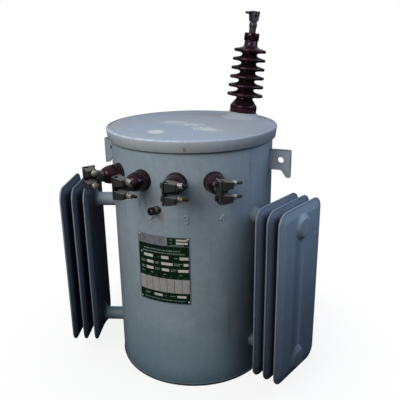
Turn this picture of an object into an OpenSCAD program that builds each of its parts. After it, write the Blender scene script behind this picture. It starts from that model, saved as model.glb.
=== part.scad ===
// Single-phase oil-filled distribution transformer for mounting on a pole.
// Millimetres, +Z up. The origin is where the tank axis meets the ground; the front faces -Y.

/* [Tank] */
// Outside radius of the tank wall
tank_r = 277; // [245:1:310]
// Height of the wall's top edge above the ground
tank_h = 852; // [800:1:900]
// Thickness of the wall sheet
wall_t = 4; // [2.5:0.5:7]
// Thickness of the bottom plate
bottom_t = 8; // [5:1:14]
// Clearance left where a piece seats on a curved wall
seat_gap = 0.2; // [0.1:0.05:0.3]

/* [Lid] */
// Thickness of the gasket between wall and lid
lid_gasket_t = 8; // [5:1:12]
// Radial width of that gasket
lid_gasket_w = 16; // [10:1:20]
// Thickness of the lid sheet
lid_t = 5; // [3:0.5:7]
// Air gap between the tank wall and the turned-down rim at its top
rim_gap = 9; // [7:0.5:14]
// Depth of the turned-down rim, from the lid's shoulder
rim_h = 38; // [26:1:48]
// How far the rim leans in over its depth
rim_lean = 4; // [0:0.5:5]
// Outside radius of the rim's rounded corner
rim_round = 9; // [8:0.5:12]
// Width of the flat shoulder inside the rim
shoulder_w = 27; // [24:1:36]
// Rise of the dome above the shoulder
dome_h = 14; // [8:1:24]

/* [High-voltage bushing] */
// Direction of the bushing from the front, towards the right-hand side
hv_angle = 135; // [120:1:150]
// Distance of its foot's centre in from the tank wall
hv_inset = 79; // [70:1:95]
// Outward lean of the bushing
hv_tilt = 7; // [0:0.5:10]
// Height of the boss top above the lid's shoulder
boss_h = 23; // [20:1:34]
// Depth to which the boss is formed before the lid cuts it off
boss_depth = 46; // [40:1:60]
// Radius of the boss at its top
boss_r = 51; // [49:0.5:56]
// Slope of the boss's side, as radius gained per unit of height
boss_flare = 0.35; // [0.2:0.05:0.6]
// Radius of the porcelain foot
foot_r = 47; // [43:0.5:48]
// Height of the foot up to its shoulder
foot_h = 26; // [20:1:30]
// Height where the foot's cone meets the core
neck_z = 46; // [42:1:48]
// Core radius at the neck
core_r = 29; // [26:0.5:31]
// Core radius above the last shed
core_top_r = 26; // [23:0.5:27]
// Number of sheds
shed_n = 6; // [3:1:7]
// Height of the lowest shed's tip
shed_z = 61.5; // [59:0.5:68]
// Height from one shed to the next
shed_pitch = 30; // [29:0.5:34]
// Tip radius of the lowest shed
shed_r = 63; // [58:0.5:67]
// Loss of tip radius from one shed to the next
shed_step = 1.5; // [0:0.1:2.5]
// Half the thickness of a shed's tip
shed_tip = 5.5; // [4:0.5:6]
// Slope of a shed's upper side
shed_top_slope = 12; // [8:1:15]
// Slope of a shed's lower side
shed_low_slope = 4; // [2:1:6]
// Height of the porcelain head above the last shed's tip
head_h = 58.5; // [52:0.5:66]
// Radius of the head at its top
head_r = 25.5; // [24:0.5:29]
// Radius of the neck under the head
head_neck_r = 23; // [20:0.5:23.5]
// Height of that neck above the last shed's tip
head_neck_z = 32; // [26:1:36]
// Rounding of the porcelain's edges
glaze_round = 4; // [2:0.5:5]
// Radius of the tail that passes through the lid
tail_r = 30; // [24:1:34]
// Length of that tail below the foot
tail_l = 70; // [50:1:90]

/* [High-voltage terminal] */
// Radius of the terminal stud
hv_stud_r = 12; // [10:0.5:12.5]
// Depth of the stud's seat in the porcelain
hv_stud_seat = 30; // [20:1:40]
// Length of the stud above the porcelain
hv_stud_l = 38; // [36:1:46]
// Radius over the corners of the stud's collar nut
hv_nut_r = 15.5; // [14.5:0.5:17]
// Height of the collar nut
hv_nut_h = 14; // [10:1:16]
// Height of the collar nut's foot above the porcelain
hv_nut_z = 19; // [8:1:21]
// Width of the clamp, along its bolt
hv_clamp_w = 29; // [26:0.5:33]
// Depth of the clamp, along its cable
hv_clamp_d = 26; // [20:1:32]
// Height of the clamp
hv_clamp_h = 33; // [32:0.5:38]
// Rounding of the clamp's upright edges
hv_clamp_round = 6; // [2:0.5:8]
// Width of the clamp's tapered foot where it meets the stud
hv_clamp_foot = 22; // [19:0.5:24]
// Height of that taper
hv_taper_h = 23; // [15:0.5:25]
// Radius of the cable bore
hv_cable_r = 5; // [3.5:0.5:5.5]
// Height of the cable bore above the clamp's foot
hv_bore_z = 16; // [15.5:0.5:16.5]
// Width of the saw cut above the cable bore
slit_w = 3; // [2:0.5:5]
// Height of the bolt above the clamp's foot
hv_bolt_z = 26; // [25.5:0.5:26.5]
// Radius of the clamp's bolt
hv_bolt_r = 4; // [3:0.5:4.5]
// Radius over the corners of its head and nut
hv_bolt_nut_r = 6.5; // [5.5:0.5:7]
// Height of its nut
hv_bolt_nut_h = 6; // [4:0.5:8]
// Height of its head
hv_bolt_head_h = 3; // [2:0.5:5]
// Length of the bolt that stands out past the nut
hv_bolt_tip = 13; // [8:1:18]
// Turn of the clamp about the stud, from the wall's direction
hv_clamp_turn = 90; // [0:5:180]

/* [Low-voltage bushings] */
// Angle from one bushing to the next round the tank
lv_pitch = 24; // [21:0.5:27]
// Depth of the bushing axes below the wall's top edge
lv_drop = 119; // [100:1:140]
// Radius of the gasket under each bushing
lv_gasket_r = 33.5; // [32:0.5:37]
// Distance that the gasket's face stands out from the wall
lv_gasket_t = 5; // [3:0.5:8]
// Radius of the porcelain at its foot
lv_foot_r = 31; // [28:0.5:31.5]
// Length of the porcelain's straight foot
lv_foot_l = 12; // [8:1:16]
// Length of the porcelain from gasket to end face
lv_l = 54; // [48:1:62]
// Radius of the porcelain's end face
lv_end_r = 18; // [16:0.5:22]
// Radius of the porcelain's spigot through the wall
lv_spigot_r = 20; // [16:0.5:24]
// Length of that spigot behind the gasket's face
lv_spigot_l = 40; // [30:1:50]

/* [Low-voltage terminals] */
// Radius of the terminal stud inside the porcelain
lv_stud_r = 8; // [6:0.5:10]
// Radius of the terminal's collar
lv_collar_r = 19; // [17:0.5:22]
// Length of the collar
lv_collar_l = 12; // [8:1:16]
// Radius over the corners of the terminal's hexagon
lv_hex_r = 22; // [20:0.5:25]
// Length of the hexagon
lv_hex_l = 16; // [12:1:20]
// Distance of the fixed jaw's outer side from the bushing's axis
spine_x = 17.5; // [16:0.5:19]
// Thickness of the fixed jaw that carries both clamps
spine_t = 7; // [6:0.5:9]
// Air gap between fixed and loose jaws
jaw_gap = 2; // [1:0.5:3]
// Width of a loose jaw, along its bolt
jaw_w = 34; // [28:0.5:38]
// Height of a loose jaw
jaw_h = 29; // [26:0.5:32]
// Height of a loose jaw at its nut
jaw_end_h = 18.5; // [16:0.5:22]
// Gap between the two loose jaws of a terminal
jaw_space = 12; // [6:1:16]
// Depth of the jaws, away from the tank
jaw_d = 34; // [33:0.5:40]
// Rounding of the jaws' upright edges
jaw_round = 6; // [2:0.5:8]
// Clearance between the loose jaws and the hexagon
jaw_clear = 0.5; // [0.3:0.1:0.8]
// Radius of the cable bore between the jaws
lv_cable_r = 7; // [5:0.5:7.5]
// Distance of the cable bore's axis into the loose jaw
cable_side = 2; // [1.5:0.5:3]
// Distance of the cable bore from the jaws' back
cable_in = 23; // [22:0.5:24]
// Distance of the bolts from the jaws' back
bolt_in = 10; // [9:0.5:10]
// Radius of the clamp bolts
bolt_r = 5; // [4:0.5:5.5]
// Radius over the corners of the clamp bolts' heads and nuts
bolt_nut_r = 9; // [8:0.5:10]
// Height of the clamp bolts' nuts, with their washers
bolt_nut_h = 14; // [10:0.5:16]
// Height of the clamp bolts' heads
bolt_head_h = 7; // [5:0.5:10]
// Length of bolt that stands out past its nut
bolt_tip = 17; // [12:1:24]

/* [Ground connector] */
// Direction of the connector from the front
ground_angle = -1.5; // [-6:0.5:4]
// Depth of the connector below the low-voltage bushings
ground_drop = 92; // [80:1:105]
// Turn of the connector's axis towards the left-hand side
ground_skew = 26; // [15:1:27]
// Radius of the pad welded to the tank
pad_r = 10.5; // [10:0.5:14]
// Length of the pad along that axis
pad_t = 5; // [5:0.5:8]
// Radius over the corners of the ground nut
ground_nut_r = 10; // [8:0.5:10]
// Height of the ground nut
ground_nut_h = 7; // [6:0.5:10]
// Radius of the connector's body
connector_r = 12; // [11:0.5:14]
// Length of the connector's body
connector_l = 18; // [16:1:24]
// Radius of the connector's cable bore
ground_cable_r = 5; // [4:0.5:6]

/* [Nameplate] */
// Direction of the plate's middle from the front
plate_turn = 1; // [-5:0.5:5]
// Width of the plate, measured round the tank
plate_w = 183; // [150:1:210]
// Depth of the plate's upper edge below the wall's top edge
plate_drop = 297; // [275:1:330]
// Height of the plate
plate_h = 236; // [190:1:250]
// Thickness of the plate
plate_t = 1.5; // [1:0.25:3]

/* [Radiators] */
// Direction of each radiator from the front
radiator_angle = 72; // [68:0.5:76]
// Shift of each radiator towards the front
radiator_shift = 12; // [0:1:16]
// Distance of the innermost panel's middle from the tank wall
panel_gap = 84; // [70:0.5:100]
// Distance from one panel to the next
panel_pitch = 40; // [36:0.5:44]
// Height of the panels' lower edge
panel_z = 72; // [55:1:90]
// Height of a panel
panel_h = 592; // [550:1:610]
// Width of a panel
panel_w = 251; // [230:1:270]
// Thickness of a panel over its faces
panel_t = 20; // [14:0.5:24]
// Thickness of the seam round its edge
seam_t = 6; // [3:0.5:8]
// Width of that seam
seam_w = 6; // [4:1:10]
// Width of the slope between seam and face
slope_w = 26; // [14:1:30]
// Radius of a panel's corners
panel_round = 41; // [28:1:48]
// Half width of the crease down the middle of a panel
crease_w = 16; // [10:1:22]
// Depth of the crease
crease_d = 4; // [1:0.5:5]
// Radius of the pressed collars at their foot
collar_r = 40; // [34:1:46]
// Radius of the pressed collars where they meet
collar_end_r = 30; // [27:0.5:33]
// Rise of the closed collars on the outermost face
dome_rise = 10; // [6:1:12]
// Radius of a closed collar's flat top
dome_top_r = 29; // [24:1:32]
// Rounding round that top
dome_round = 6; // [3:0.5:8]
// Outside radius of the header pipes
header_r = 24.15; // [20:0.25:26]
// Wall of the header pipes
header_t = 3; // [2:0.25:4]
// Distance of the lower headers' axis from the panels' lower ends
low_inset = 56; // [52:1:72]
// Distance of the upper headers' axis from the panels' upper ends
high_inset = 69; // [60:1:80]

/* [Lifting lugs] */
// Thickness of a lug's plate
lug_t = 12; // [8:0.5:16]
// Reach of a lug from the tank wall
lug_reach = 72; // [64:1:82]
// Depth of a lug's top edge below the wall's top edge
lug_drop = 57; // [50:1:80]
// Height of the plate at the wall
lug_h = 68; // [60:1:76]
// Drop of the tooth below the plate
tooth_drop = 25; // [15:1:32]
// Width of the tooth's tip
tooth_w = 14; // [10:1:18]
// Width of the tooth at its root
tooth_root = 31; // [24:1:36]
// Distance of the hole from the wall
lug_hole_x = 38; // [32:1:44]
// Distance of the hole below the top edge
lug_hole_z = 35; // [28:1:38]
// Radius of the hole
lug_hole_r = 10.5; // [8:0.5:12]
// Rounding of a lug's outer top corner
lug_round = 4; // [2:0.5:8]
// Rounding of the tooth
tooth_round = 4; // [2:0.5:4.5]

/* [Pole brackets] */
// Height of the lower bracket's bolt above the ground
bracket_z = 125; // [100:0.5:140]
// Depth of the upper bracket's bolt below the wall's top edge
bracket_drop = 132.5; // [115:0.5:150]
// Width of a bracket's face
bracket_w = 100; // [80:1:120]
// Height of a bracket's face
bracket_h = 100; // [80:1:110]
// Height of a bracket's sides where they meet the tank
bracket_root = 150; // [120:1:180]
// Outside radius of a bracket's bends
bracket_bend = 16; // [14:0.5:20]
// Thickness of a bracket's plates
bracket_t = 8; // [6:0.5:12]
// Distance from tank wall to the face that meets the pole
bracket_reach = 62; // [50:1:80]
// Half width of the bolt slot
slot_r = 10.5; // [9:0.5:12]
// Length of the bolt slot, end to end
slot_l = 45; // [36:1:56]

/* [Hidden] */
$fn = 96;
fine = 48;
tank_fn = 240;
over = 1;
lv_n = 4;
arc_steps = 6;
dome_steps = 10;
stud_clear = 0.3;
lid_z = tank_h + lid_gasket_t + lid_t;
lid_r = tank_r + rim_gap + lid_t;
dome_r = lid_r - shoulder_w;
hv_r = tank_r - hv_inset;
boss_z = lid_z + boss_h;
shed_last = shed_z + (shed_n - 1) * shed_pitch;
hv_top = shed_last + head_h;
hv_clamp_z = hv_top + hv_stud_l;
lv_z = tank_h - lv_drop;
lv_face = tank_r + lv_gasket_t;
lv_end = lv_face + lv_l;
jaw_y = lv_end + lv_collar_l + lv_hex_l;
jaw_left = -spine_x;
jaw_start = jaw_left + spine_t + jaw_gap;
jaw_right = jaw_start + jaw_w;
cable_x = jaw_start + cable_side;
jaw_rise = (jaw_h + jaw_space) / 2;
ground_z = lv_z - ground_drop;
plate_z = tank_h - plate_drop - plate_h;
plate_sweep = plate_w / tank_r * 180 / PI;
panel_s = tank_r + panel_gap;
panel_mid = panel_z + panel_h / 2;
header_low_z = panel_z + low_inset;
header_high_z = panel_z + panel_h - high_inset;
collar_h = (panel_pitch - panel_t) / 2;
lug_top = tank_h - lug_drop;
paint = [0.52, 0.57, 0.6];
lid_paint = [0.6, 0.63, 0.65];
radiator_paint = [0.36, 0.44, 0.5];
porcelain = [0.2, 0.07, 0.07];
bronze = [0.25, 0.24, 0.22];
bright = [0.75, 0.74, 0.7];
dark_rubber = [0.1, 0.1, 0.11];
plate_green = [0.1, 0.3, 0.22];

// Turns local x, y, z into along the wall, up and outwards, at an angle from the front.
module on_wall(angle, z) {
    rotate([0, 0, angle])
        translate([0, 0, z])
            rotate([90, 0, 0])
                children();
}

// A radiator's frame on the wall, moved towards the front. side is -1 on the left and 1 on the right.
module on_radiator(side, z) {
    on_wall(side * radiator_angle, z)
        translate([-side * radiator_shift, 0, 0])
            children();
}

// The bushing's own frame: z along its leaning axis, 0 at the boss top.
module on_boss() {
    rotate([0, 0, hv_angle])
        translate([0, -hv_r, boss_z])
            rotate([hv_tilt, 0, 0])
                children();
}

// The cylinder that a seat on the tank is cut back to.
module wall_cut() {
    cylinder(r = tank_r + seat_gap, h = 2 * tank_h, center = true, $fn = tank_fn);
}

module tube(r_out, r_in, length) {
    difference() {
        cylinder(r = r_out, h = length);
        translate([0, 0, -over])
            cylinder(r = r_in, h = length + 2 * over);
    }
}

function lv_angle(i) = (i - (lv_n - 1) / 2) * lv_pitch;
function backwards(line) = [for (i = [len(line) - 1 : -1 : 0]) line[i]];
function unit(v) = v / norm(v);

// The arc of radius r that takes the place of corner b between its neighbours a and c.
function fillet(a, b, c, r) = let(
    u = unit(a - b),
    v = unit(c - b),
    half = acos(u * v) / 2,
    centre = b + unit(u + v) * r / sin(half),
    from = b + u * r / tan(half) - centre,
    to = b + v * r / tan(half) - centre,
    sweep = 180 - 2 * half
) [for (i = [0 : arc_steps]) centre
    + (from * sin(sweep * (1 - i / arc_steps)) + to * sin(sweep * i / arc_steps)) / sin(sweep)];

// An outline whose corners are rounded, each by its own radius, and left sharp at 0.
function rounded(line, radii) = let(n = len(line)) [
    for (i = [0 : n - 1])
        each radii[i] > 0
            ? fillet(line[(i + n - 1) % n], line[i], line[(i + 1) % n], radii[i])
            : [line[i]]
];

// Tank

module tank_wall() {
    color(paint)
        difference() {
            translate([0, 0, bottom_t])
                tube(tank_r, tank_r - wall_t, tank_h - bottom_t, $fn = tank_fn);
            for (i = [0 : lv_n - 1])
                on_wall(lv_angle(i), lv_z)
                    wall_hole(lv_spigot_r + over);
            for (side = [-1, 1], z = [header_low_z, header_high_z])
                on_radiator(side, z)
                    wall_hole(header_r - header_t);
        }
}

module wall_hole(r) {
    translate([0, 0, tank_r / 2])
        cylinder(r = r, h = tank_r, $fn = fine);
}

module tank_bottom() {
    color(paint)
        cylinder(r = tank_r, h = bottom_t, $fn = tank_fn);
}

module lid_gasket() {
    mid_r = tank_r - wall_t / 2;
    color(dark_rubber)
        translate([0, 0, tank_h])
            tube(mid_r + lid_gasket_w / 2, mid_r - lid_gasket_w / 2, lid_gasket_t, $fn = tank_fn);
}

// Lid

function dome_at(r) = dome_h * (1 - pow(r / dome_r, 2));
function dome_point(r, drop) = [r, dome_at(r) - drop];
function dome_line(drop) = [for (i = [0 : dome_steps]) dome_point(dome_r * i / dome_steps, drop)];
function corner(r, cx, cz) = [for (a = [90 : -15 : 0]) [cx + r * cos(a), cz + r * sin(a)]];

lid_outside = concat(
    dome_line(0),
    corner(rim_round, lid_r - rim_round, -rim_round),
    [[lid_r - rim_lean, -rim_h]]
);
lid_inside = concat(
    dome_line(lid_t),
    corner(rim_round - lid_t, lid_r - rim_round, -rim_round),
    [[lid_r - rim_lean - lid_t, -rim_h]]
);

module lid() {
    color(lid_paint)
        difference() {
            translate([0, 0, lid_z])
                rotate_extrude($fn = tank_fn)
                    polygon(concat(lid_outside, backwards(lid_inside)));
            on_boss()
                lid_opening();
        }
}

module lid_opening() {
    translate([0, 0, -boss_depth])
        cylinder(r = tail_r + over, h = boss_depth + boss_h);
}

module hv_boss() {
    below = [[2 * lid_r, 0], [2 * lid_r, -2 * boss_depth], [0, -2 * boss_depth]];
    color(lid_paint)
        difference() {
            on_boss()
                translate([0, 0, -boss_depth])
                    cylinder(r1 = boss_r + boss_depth * boss_flare, r2 = boss_r, h = boss_depth);
            translate([0, 0, lid_z])
                rotate_extrude()
                    polygon(concat(dome_line(0), below));
            on_boss()
                lid_opening();
        }
}

// High-voltage bushing and terminal

function shed_core(i) = core_r + (core_top_r - core_r) * i / (shed_n - 1);
function shed_reach(i) = shed_r - i * shed_step - shed_tip - shed_core(i);
function shed_line(i) = let(z = shed_z + i * shed_pitch, rc = shed_core(i), reach = shed_reach(i)) concat(
    [[rc, z - shed_tip - reach * tan(shed_low_slope)]],
    [for (a = [-90 : 30 : 90]) [rc + reach + shed_tip * cos(a), z + shed_tip * sin(a)]],
    [[rc, z + shed_tip + reach * tan(shed_top_slope)]]
);
sheds = [for (i = [0 : shed_n - 1]) each shed_line(i)];

module hv_bushing() {
    seat_r = hv_stud_r + stud_clear;
    profile = concat(
        [[0, -tail_l], [tail_r, -tail_l], [tail_r, 0], [foot_r, 0], [foot_r, foot_h - glaze_round]],
        [[foot_r - glaze_round / 2, foot_h], [core_r, neck_z]],
        sheds,
        [[head_neck_r, shed_last + head_neck_z], [head_r, shed_last + head_neck_z + glaze_round / 2]],
        [[head_r, hv_top - glaze_round / 2], [head_r - glaze_round / 2, hv_top], [seat_r, hv_top]],
        [[seat_r, hv_top - hv_stud_seat], [0, hv_top - hv_stud_seat]]
    );
    color(porcelain)
        on_boss()
            rotate_extrude()
                polygon(profile);
}

module hv_terminal_stud() {
    color(bronze)
        on_boss() {
            translate([0, 0, hv_top - hv_stud_seat])
                cylinder(r = hv_stud_r, h = hv_stud_seat + hv_stud_l, $fn = fine);
            translate([0, 0, hv_top + hv_nut_z])
                cylinder(r = hv_nut_r, h = hv_nut_h, $fn = 6);
        }
}

module hv_terminal_clamp() {
    x = hv_clamp_w / 2;
    y = hv_clamp_d / 2;
    foot = hv_clamp_foot / 2;
    outline = rounded([[-x, -y], [x, -y], [x, y], [-x, y]], [for (i = [0 : 3]) hv_clamp_round]);
    front = [[-foot, 0], [foot, 0], [x, hv_taper_h], [x, hv_clamp_h], [-x, hv_clamp_h], [-x, hv_taper_h]];
    color(bronze)
        on_boss()
            translate([0, 0, hv_clamp_z])
                rotate([0, 0, hv_clamp_turn])
                    difference() {
                        intersection() {
                            linear_extrude(height = hv_clamp_h)
                                polygon(outline);
                            rotate([90, 0, 0])
                                linear_extrude(height = hv_clamp_d, center = true)
                                    polygon(front);
                        }
                        translate([0, hv_clamp_d, hv_bore_z])
                            rotate([90, 0, 0])
                                cylinder(r = hv_cable_r, h = 2 * hv_clamp_d, $fn = fine);
                        translate([-slit_w / 2, -hv_clamp_d, hv_bore_z])
                            cube([slit_w, 2 * hv_clamp_d, hv_clamp_h]);
                        translate([-hv_clamp_w, 0, hv_bolt_z])
                            rotate([0, 90, 0])
                                cylinder(r = hv_bolt_r + stud_clear, h = 2 * hv_clamp_w, $fn = fine);
                    }
}

// A bolt along x through a block, with its head on the -x side and its nut and tip on the +x side.
module clamp_bolt(grip, r, nut_r, head_h, nut_h, tip) {
    rotate([0, 90, 0]) {
        translate([0, 0, -grip / 2 - head_h])
            cylinder(r = nut_r, h = head_h, $fn = 6);
        translate([0, 0, -grip / 2 - head_h])
            cylinder(r = r, h = head_h + grip + nut_h + tip, $fn = fine);
        translate([0, 0, grip / 2])
            cylinder(r = nut_r, h = nut_h, $fn = 6);
    }
}

module hv_clamp_bolt() {
    color(bright)
        on_boss()
            translate([0, 0, hv_clamp_z + hv_bolt_z])
                rotate([0, 0, hv_clamp_turn])
                    clamp_bolt(
                        hv_clamp_w, hv_bolt_r, hv_bolt_nut_r,
                        hv_bolt_head_h, hv_bolt_nut_h, hv_bolt_tip
                    );
}

// Low-voltage bushings and terminals

module lv_gasket(i) {
    color(dark_rubber)
        difference() {
            on_wall(lv_angle(i), lv_z)
                translate([0, 0, tank_r - lv_gasket_r / 2])
                    tube(lv_gasket_r, lv_spigot_r + over, lv_gasket_r / 2 + lv_gasket_t);
            wall_cut();
        }
}

module lv_bushing(i) {
    bore_r = lv_stud_r + stud_clear;
    curve_l = lv_l - lv_foot_l;
    curve_r = lv_foot_r - lv_end_r;
    dome = [for (a = [0 : 10 : 90]) [lv_end_r + curve_r * cos(a), lv_foot_l + curve_l * sin(a)]];
    profile = concat(
        [[bore_r, -lv_spigot_l], [lv_spigot_r, -lv_spigot_l], [lv_spigot_r, 0], [lv_foot_r, 0]],
        dome,
        [[bore_r, lv_l]]
    );
    color(porcelain)
        on_wall(lv_angle(i), lv_z)
            translate([0, 0, lv_face])
                rotate_extrude()
                    polygon(profile);
}

// An upright bar from y = low up to y = high, by its outline in x and in the distance from the tank.
module upright(outline, low, high) {
    translate([0, high, 0])
        rotate([90, 0, 0])
            linear_extrude(height = high - low)
                polygon(outline);
}

// What the cable and the bolt of one clamp take out of its jaws.
module jaw_cuts(side) {
    low = side > 0 ? jaw_space / 2 : -jaw_space / 2 - jaw_h - over;
    translate([cable_x, low + jaw_h + over, jaw_y + cable_in])
        rotate([90, 0, 0])
            cylinder(r = lv_cable_r, h = jaw_h + over, $fn = fine);
    translate([2 * jaw_left, side * jaw_rise, jaw_y + bolt_in])
        rotate([0, 90, 0])
            cylinder(r = bolt_r + stud_clear, h = 2 * (jaw_right - jaw_left), $fn = fine);
}

// Stud, collar, hexagon and the fixed jaw of both clamps, in one casting.
module lv_terminal(i) {
    left = jaw_left;
    right = jaw_left + spine_t;
    back = jaw_y - lv_hex_l / 2;
    front = jaw_y + jaw_d;
    reach = jaw_space / 2 + jaw_h;
    corners = [[left, back], [right, back], [right, front], [left, front]];
    spine = rounded(corners, [0, 0, 0, jaw_round]);
    color(bronze)
        on_wall(lv_angle(i), lv_z)
            difference() {
                union() {
                    translate([0, 0, lv_face - lv_spigot_l])
                        cylinder(r = lv_stud_r, h = lv_spigot_l + lv_l + over, $fn = fine);
                    translate([0, 0, lv_end])
                        cylinder(r = lv_collar_r, h = lv_collar_l);
                    translate([0, 0, lv_end + lv_collar_l])
                        rotate([0, 0, 30])
                            cylinder(r = lv_hex_r, h = lv_hex_l, $fn = 6);
                    upright(spine, -reach, reach);
                }
                jaw_cuts(-1);
                jaw_cuts(1);
            }
}

module lv_clamp_jaws(i) {
    left = jaw_start;
    right = jaw_right;
    back = jaw_y + jaw_clear;
    front = jaw_y + jaw_d;
    corners = [[left, back], [right, back], [right, front], [left, front]];
    jaw = rounded(corners, [0, jaw_round, jaw_round, 0]);
    taper = [[left, -jaw_h / 2], [right, -jaw_end_h / 2], [right, jaw_end_h / 2], [left, jaw_h / 2]];
    color(bronze)
        on_wall(lv_angle(i), lv_z)
            for (side = [-1, 1])
                difference() {
                    intersection() {
                        upright(jaw, side * jaw_rise - jaw_h / 2, side * jaw_rise + jaw_h / 2);
                        translate([0, side * jaw_rise, jaw_y])
                            linear_extrude(height = jaw_d)
                                polygon(taper);
                    }
                    jaw_cuts(side);
                }
}

module lv_clamp_bolts(i) {
    color(bright)
        on_wall(lv_angle(i), lv_z)
            for (side = [-1, 1])
                translate([(jaw_left + jaw_right) / 2, side * jaw_rise, jaw_y + bolt_in])
                    clamp_bolt(jaw_right - jaw_left, bolt_r, bolt_nut_r, bolt_head_h, bolt_nut_h, bolt_tip);
}

// Ground connector and nameplate

// The connector's own frame: z along its axis, 0 where it meets the wall.
module on_pad() {
    on_wall(ground_angle, ground_z)
        translate([0, 0, tank_r])
            rotate([0, -ground_skew, 0])
                children();
}

module ground_pad() {
    color(bronze)
        difference() {
            on_pad()
                translate([0, 0, -pad_r])
                    cylinder(r = pad_r, h = pad_r + pad_t, $fn = fine);
            wall_cut();
        }
}

module ground_nut() {
    color(bright)
        on_pad()
            translate([0, 0, pad_t])
                cylinder(r = ground_nut_r, h = ground_nut_h, $fn = 6);
}

module ground_connector() {
    color(bronze)
        on_pad()
            translate([0, 0, pad_t + ground_nut_h])
                difference() {
                    cylinder(r = connector_r, h = connector_l, $fn = fine);
                    translate([0, 2 * connector_r, connector_l / 2])
                        rotate([90, 0, 0])
                            cylinder(r = ground_cable_r, h = 4 * connector_r, $fn = fine);
                }
}

module nameplate() {
    color(plate_green)
        translate([0, 0, plate_z])
            rotate([0, 0, plate_turn - 90 - plate_sweep / 2])
                rotate_extrude(angle = plate_sweep, $fn = tank_fn)
                    translate([tank_r + seat_gap, 0])
                        square([plate_t, plate_h]);
}

// Radiators

module rounded_rect(w, h, r) {
    translate([-w / 2 + r, -h / 2])
        square([w - 2 * r, h]);
    translate([-w / 2, -h / 2 + r])
        square([w, h - 2 * r]);
    for (x = [-1, 1], y = [-1, 1])
        translate([x * (w / 2 - r), y * (h / 2 - r)])
            circle(r = r, $fn = fine);
}

// Half a pressed section: seam, slope and flat face, from the edge inwards.
function pressing(half_w, side) = [
    [side * half_w, seam_t / 2],
    [side * (half_w - seam_w), seam_t / 2],
    [side * (half_w - seam_w - slope_w), panel_t / 2]
];
function mirrored(line) = [for (p = backwards(line)) [p[0], -p[1]]];

// The pressed plate alone: x across, y up, z outwards, centred.
module pressed_plate() {
    crease = [[-crease_w, panel_t / 2], [0, panel_t / 2 - crease_d], [crease_w, panel_t / 2]];
    across = concat(pressing(panel_w / 2, -1), crease, backwards(pressing(panel_w / 2, 1)));
    along = concat(pressing(panel_h / 2, -1), backwards(pressing(panel_h / 2, 1)));
    intersection() {
        linear_extrude(height = panel_t, center = true)
            rounded_rect(panel_w, panel_h, panel_round);
        rotate([90, 0, 0])
            linear_extrude(height = panel_h, center = true)
                polygon(concat(across, mirrored(across)));
        rotate([0, 90, 0])
            rotate([0, 0, 90])
                linear_extrude(height = panel_w, center = true)
                    polygon(concat(along, mirrored(along)));
    }
}

// A collar pressed out of a panel's face to meet its neighbour.
module collar(side) {
    mirror([0, 0, side < 0 ? 1 : 0])
        cylinder(r1 = collar_r, r2 = collar_end_r, h = panel_t / 2 + collar_h);
}

// The flat-topped collar that closes the outermost face.
module end_dome() {
    foot = panel_t / 2 - crease_d;
    top = panel_t / 2 + dome_rise;
    side = [[0, 0], [collar_r, 0], [collar_r, foot], [dome_top_r, top], [0, top]];
    rotate_extrude()
        polygon(rounded(side, [0, 0, 0, dome_round, 0]));
}

module radiator_panel(side, i) {
    color(radiator_paint)
        on_radiator(side, panel_mid)
            translate([0, 0, panel_s + i * panel_pitch]) {
                pressed_plate();
                for (z = [header_low_z, header_high_z])
                    translate([0, z - panel_mid, 0]) {
                        collar(-1);
                        if (i < 2)
                            collar(1);
                        else
                            end_dome();
                    }
            }
}

module header(side, z) {
    reach = panel_s - panel_t / 2 - collar_h;
    color(radiator_paint)
        difference() {
            on_radiator(side, z)
                translate([0, 0, tank_r - header_r])
                    tube(header_r, header_r - header_t, reach - tank_r + header_r);
            wall_cut();
        }
}

// Lifting lugs

module lifting_lug(side) {
    tip_x = tank_r + lug_reach;
    low = lug_top - lug_h;
    outline = rounded([
        [tank_r - lug_t, lug_top],
        [tip_x, lug_top],
        [tip_x, low - tooth_drop],
        [tip_x - tooth_w, low - tooth_drop],
        [tip_x - tooth_root, low],
        [tank_r - lug_t, low]
    ], [0, lug_round, tooth_round, tooth_round, lug_round, 0]);
    color(paint)
        difference() {
            mirror([side < 0 ? 1 : 0, 0, 0])
                rotate([90, 0, 0])
                    linear_extrude(height = lug_t, center = true)
                        difference() {
                            polygon(outline);
                            translate([tank_r + lug_hole_x, lug_top - lug_hole_z])
                                circle(r = lug_hole_r, $fn = fine);
                        }
            wall_cut();
        }
}

// Pole brackets

// A bent channel welded to the back of the tank. The face that meets the pole has an upright bolt slot.
module pole_bracket(z) {
    slot_run = slot_l / 2 - slot_r;
    x = bracket_w / 2;
    root = tank_r - 2 * bracket_t;
    face = tank_r + bracket_reach;
    channel = rounded([
        [-x, root],
        [-x, face],
        [x, face],
        [x, root],
        [x - bracket_t, root],
        [x - bracket_t, face - bracket_t],
        [-x + bracket_t, face - bracket_t],
        [-x + bracket_t, root]
    ], [0, bracket_bend, bracket_bend, 0, 0, bracket_bend - bracket_t, bracket_bend - bracket_t, 0]);
    side_view = [
        [root, -bracket_root / 2],
        [tank_r, -bracket_root / 2],
        [face, -bracket_h / 2],
        [face, bracket_h / 2],
        [tank_r, bracket_root / 2],
        [root, bracket_root / 2]
    ];
    color(paint)
        difference() {
            on_wall(180, z)
                difference() {
                    intersection() {
                        upright(channel, -bracket_root / 2, bracket_root / 2);
                        rotate([0, -90, 0])
                            linear_extrude(height = bracket_w, center = true)
                                polygon(side_view);
                    }
                    for (end = [-1, 1])
                        translate([0, end * slot_run, tank_r])
                            cylinder(r = slot_r, h = 2 * bracket_reach, $fn = fine);
                    translate([-slot_r, -slot_run, tank_r])
                        cube([2 * slot_r, 2 * slot_run, 2 * bracket_reach]);
                }
            wall_cut();
        }
}

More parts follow.
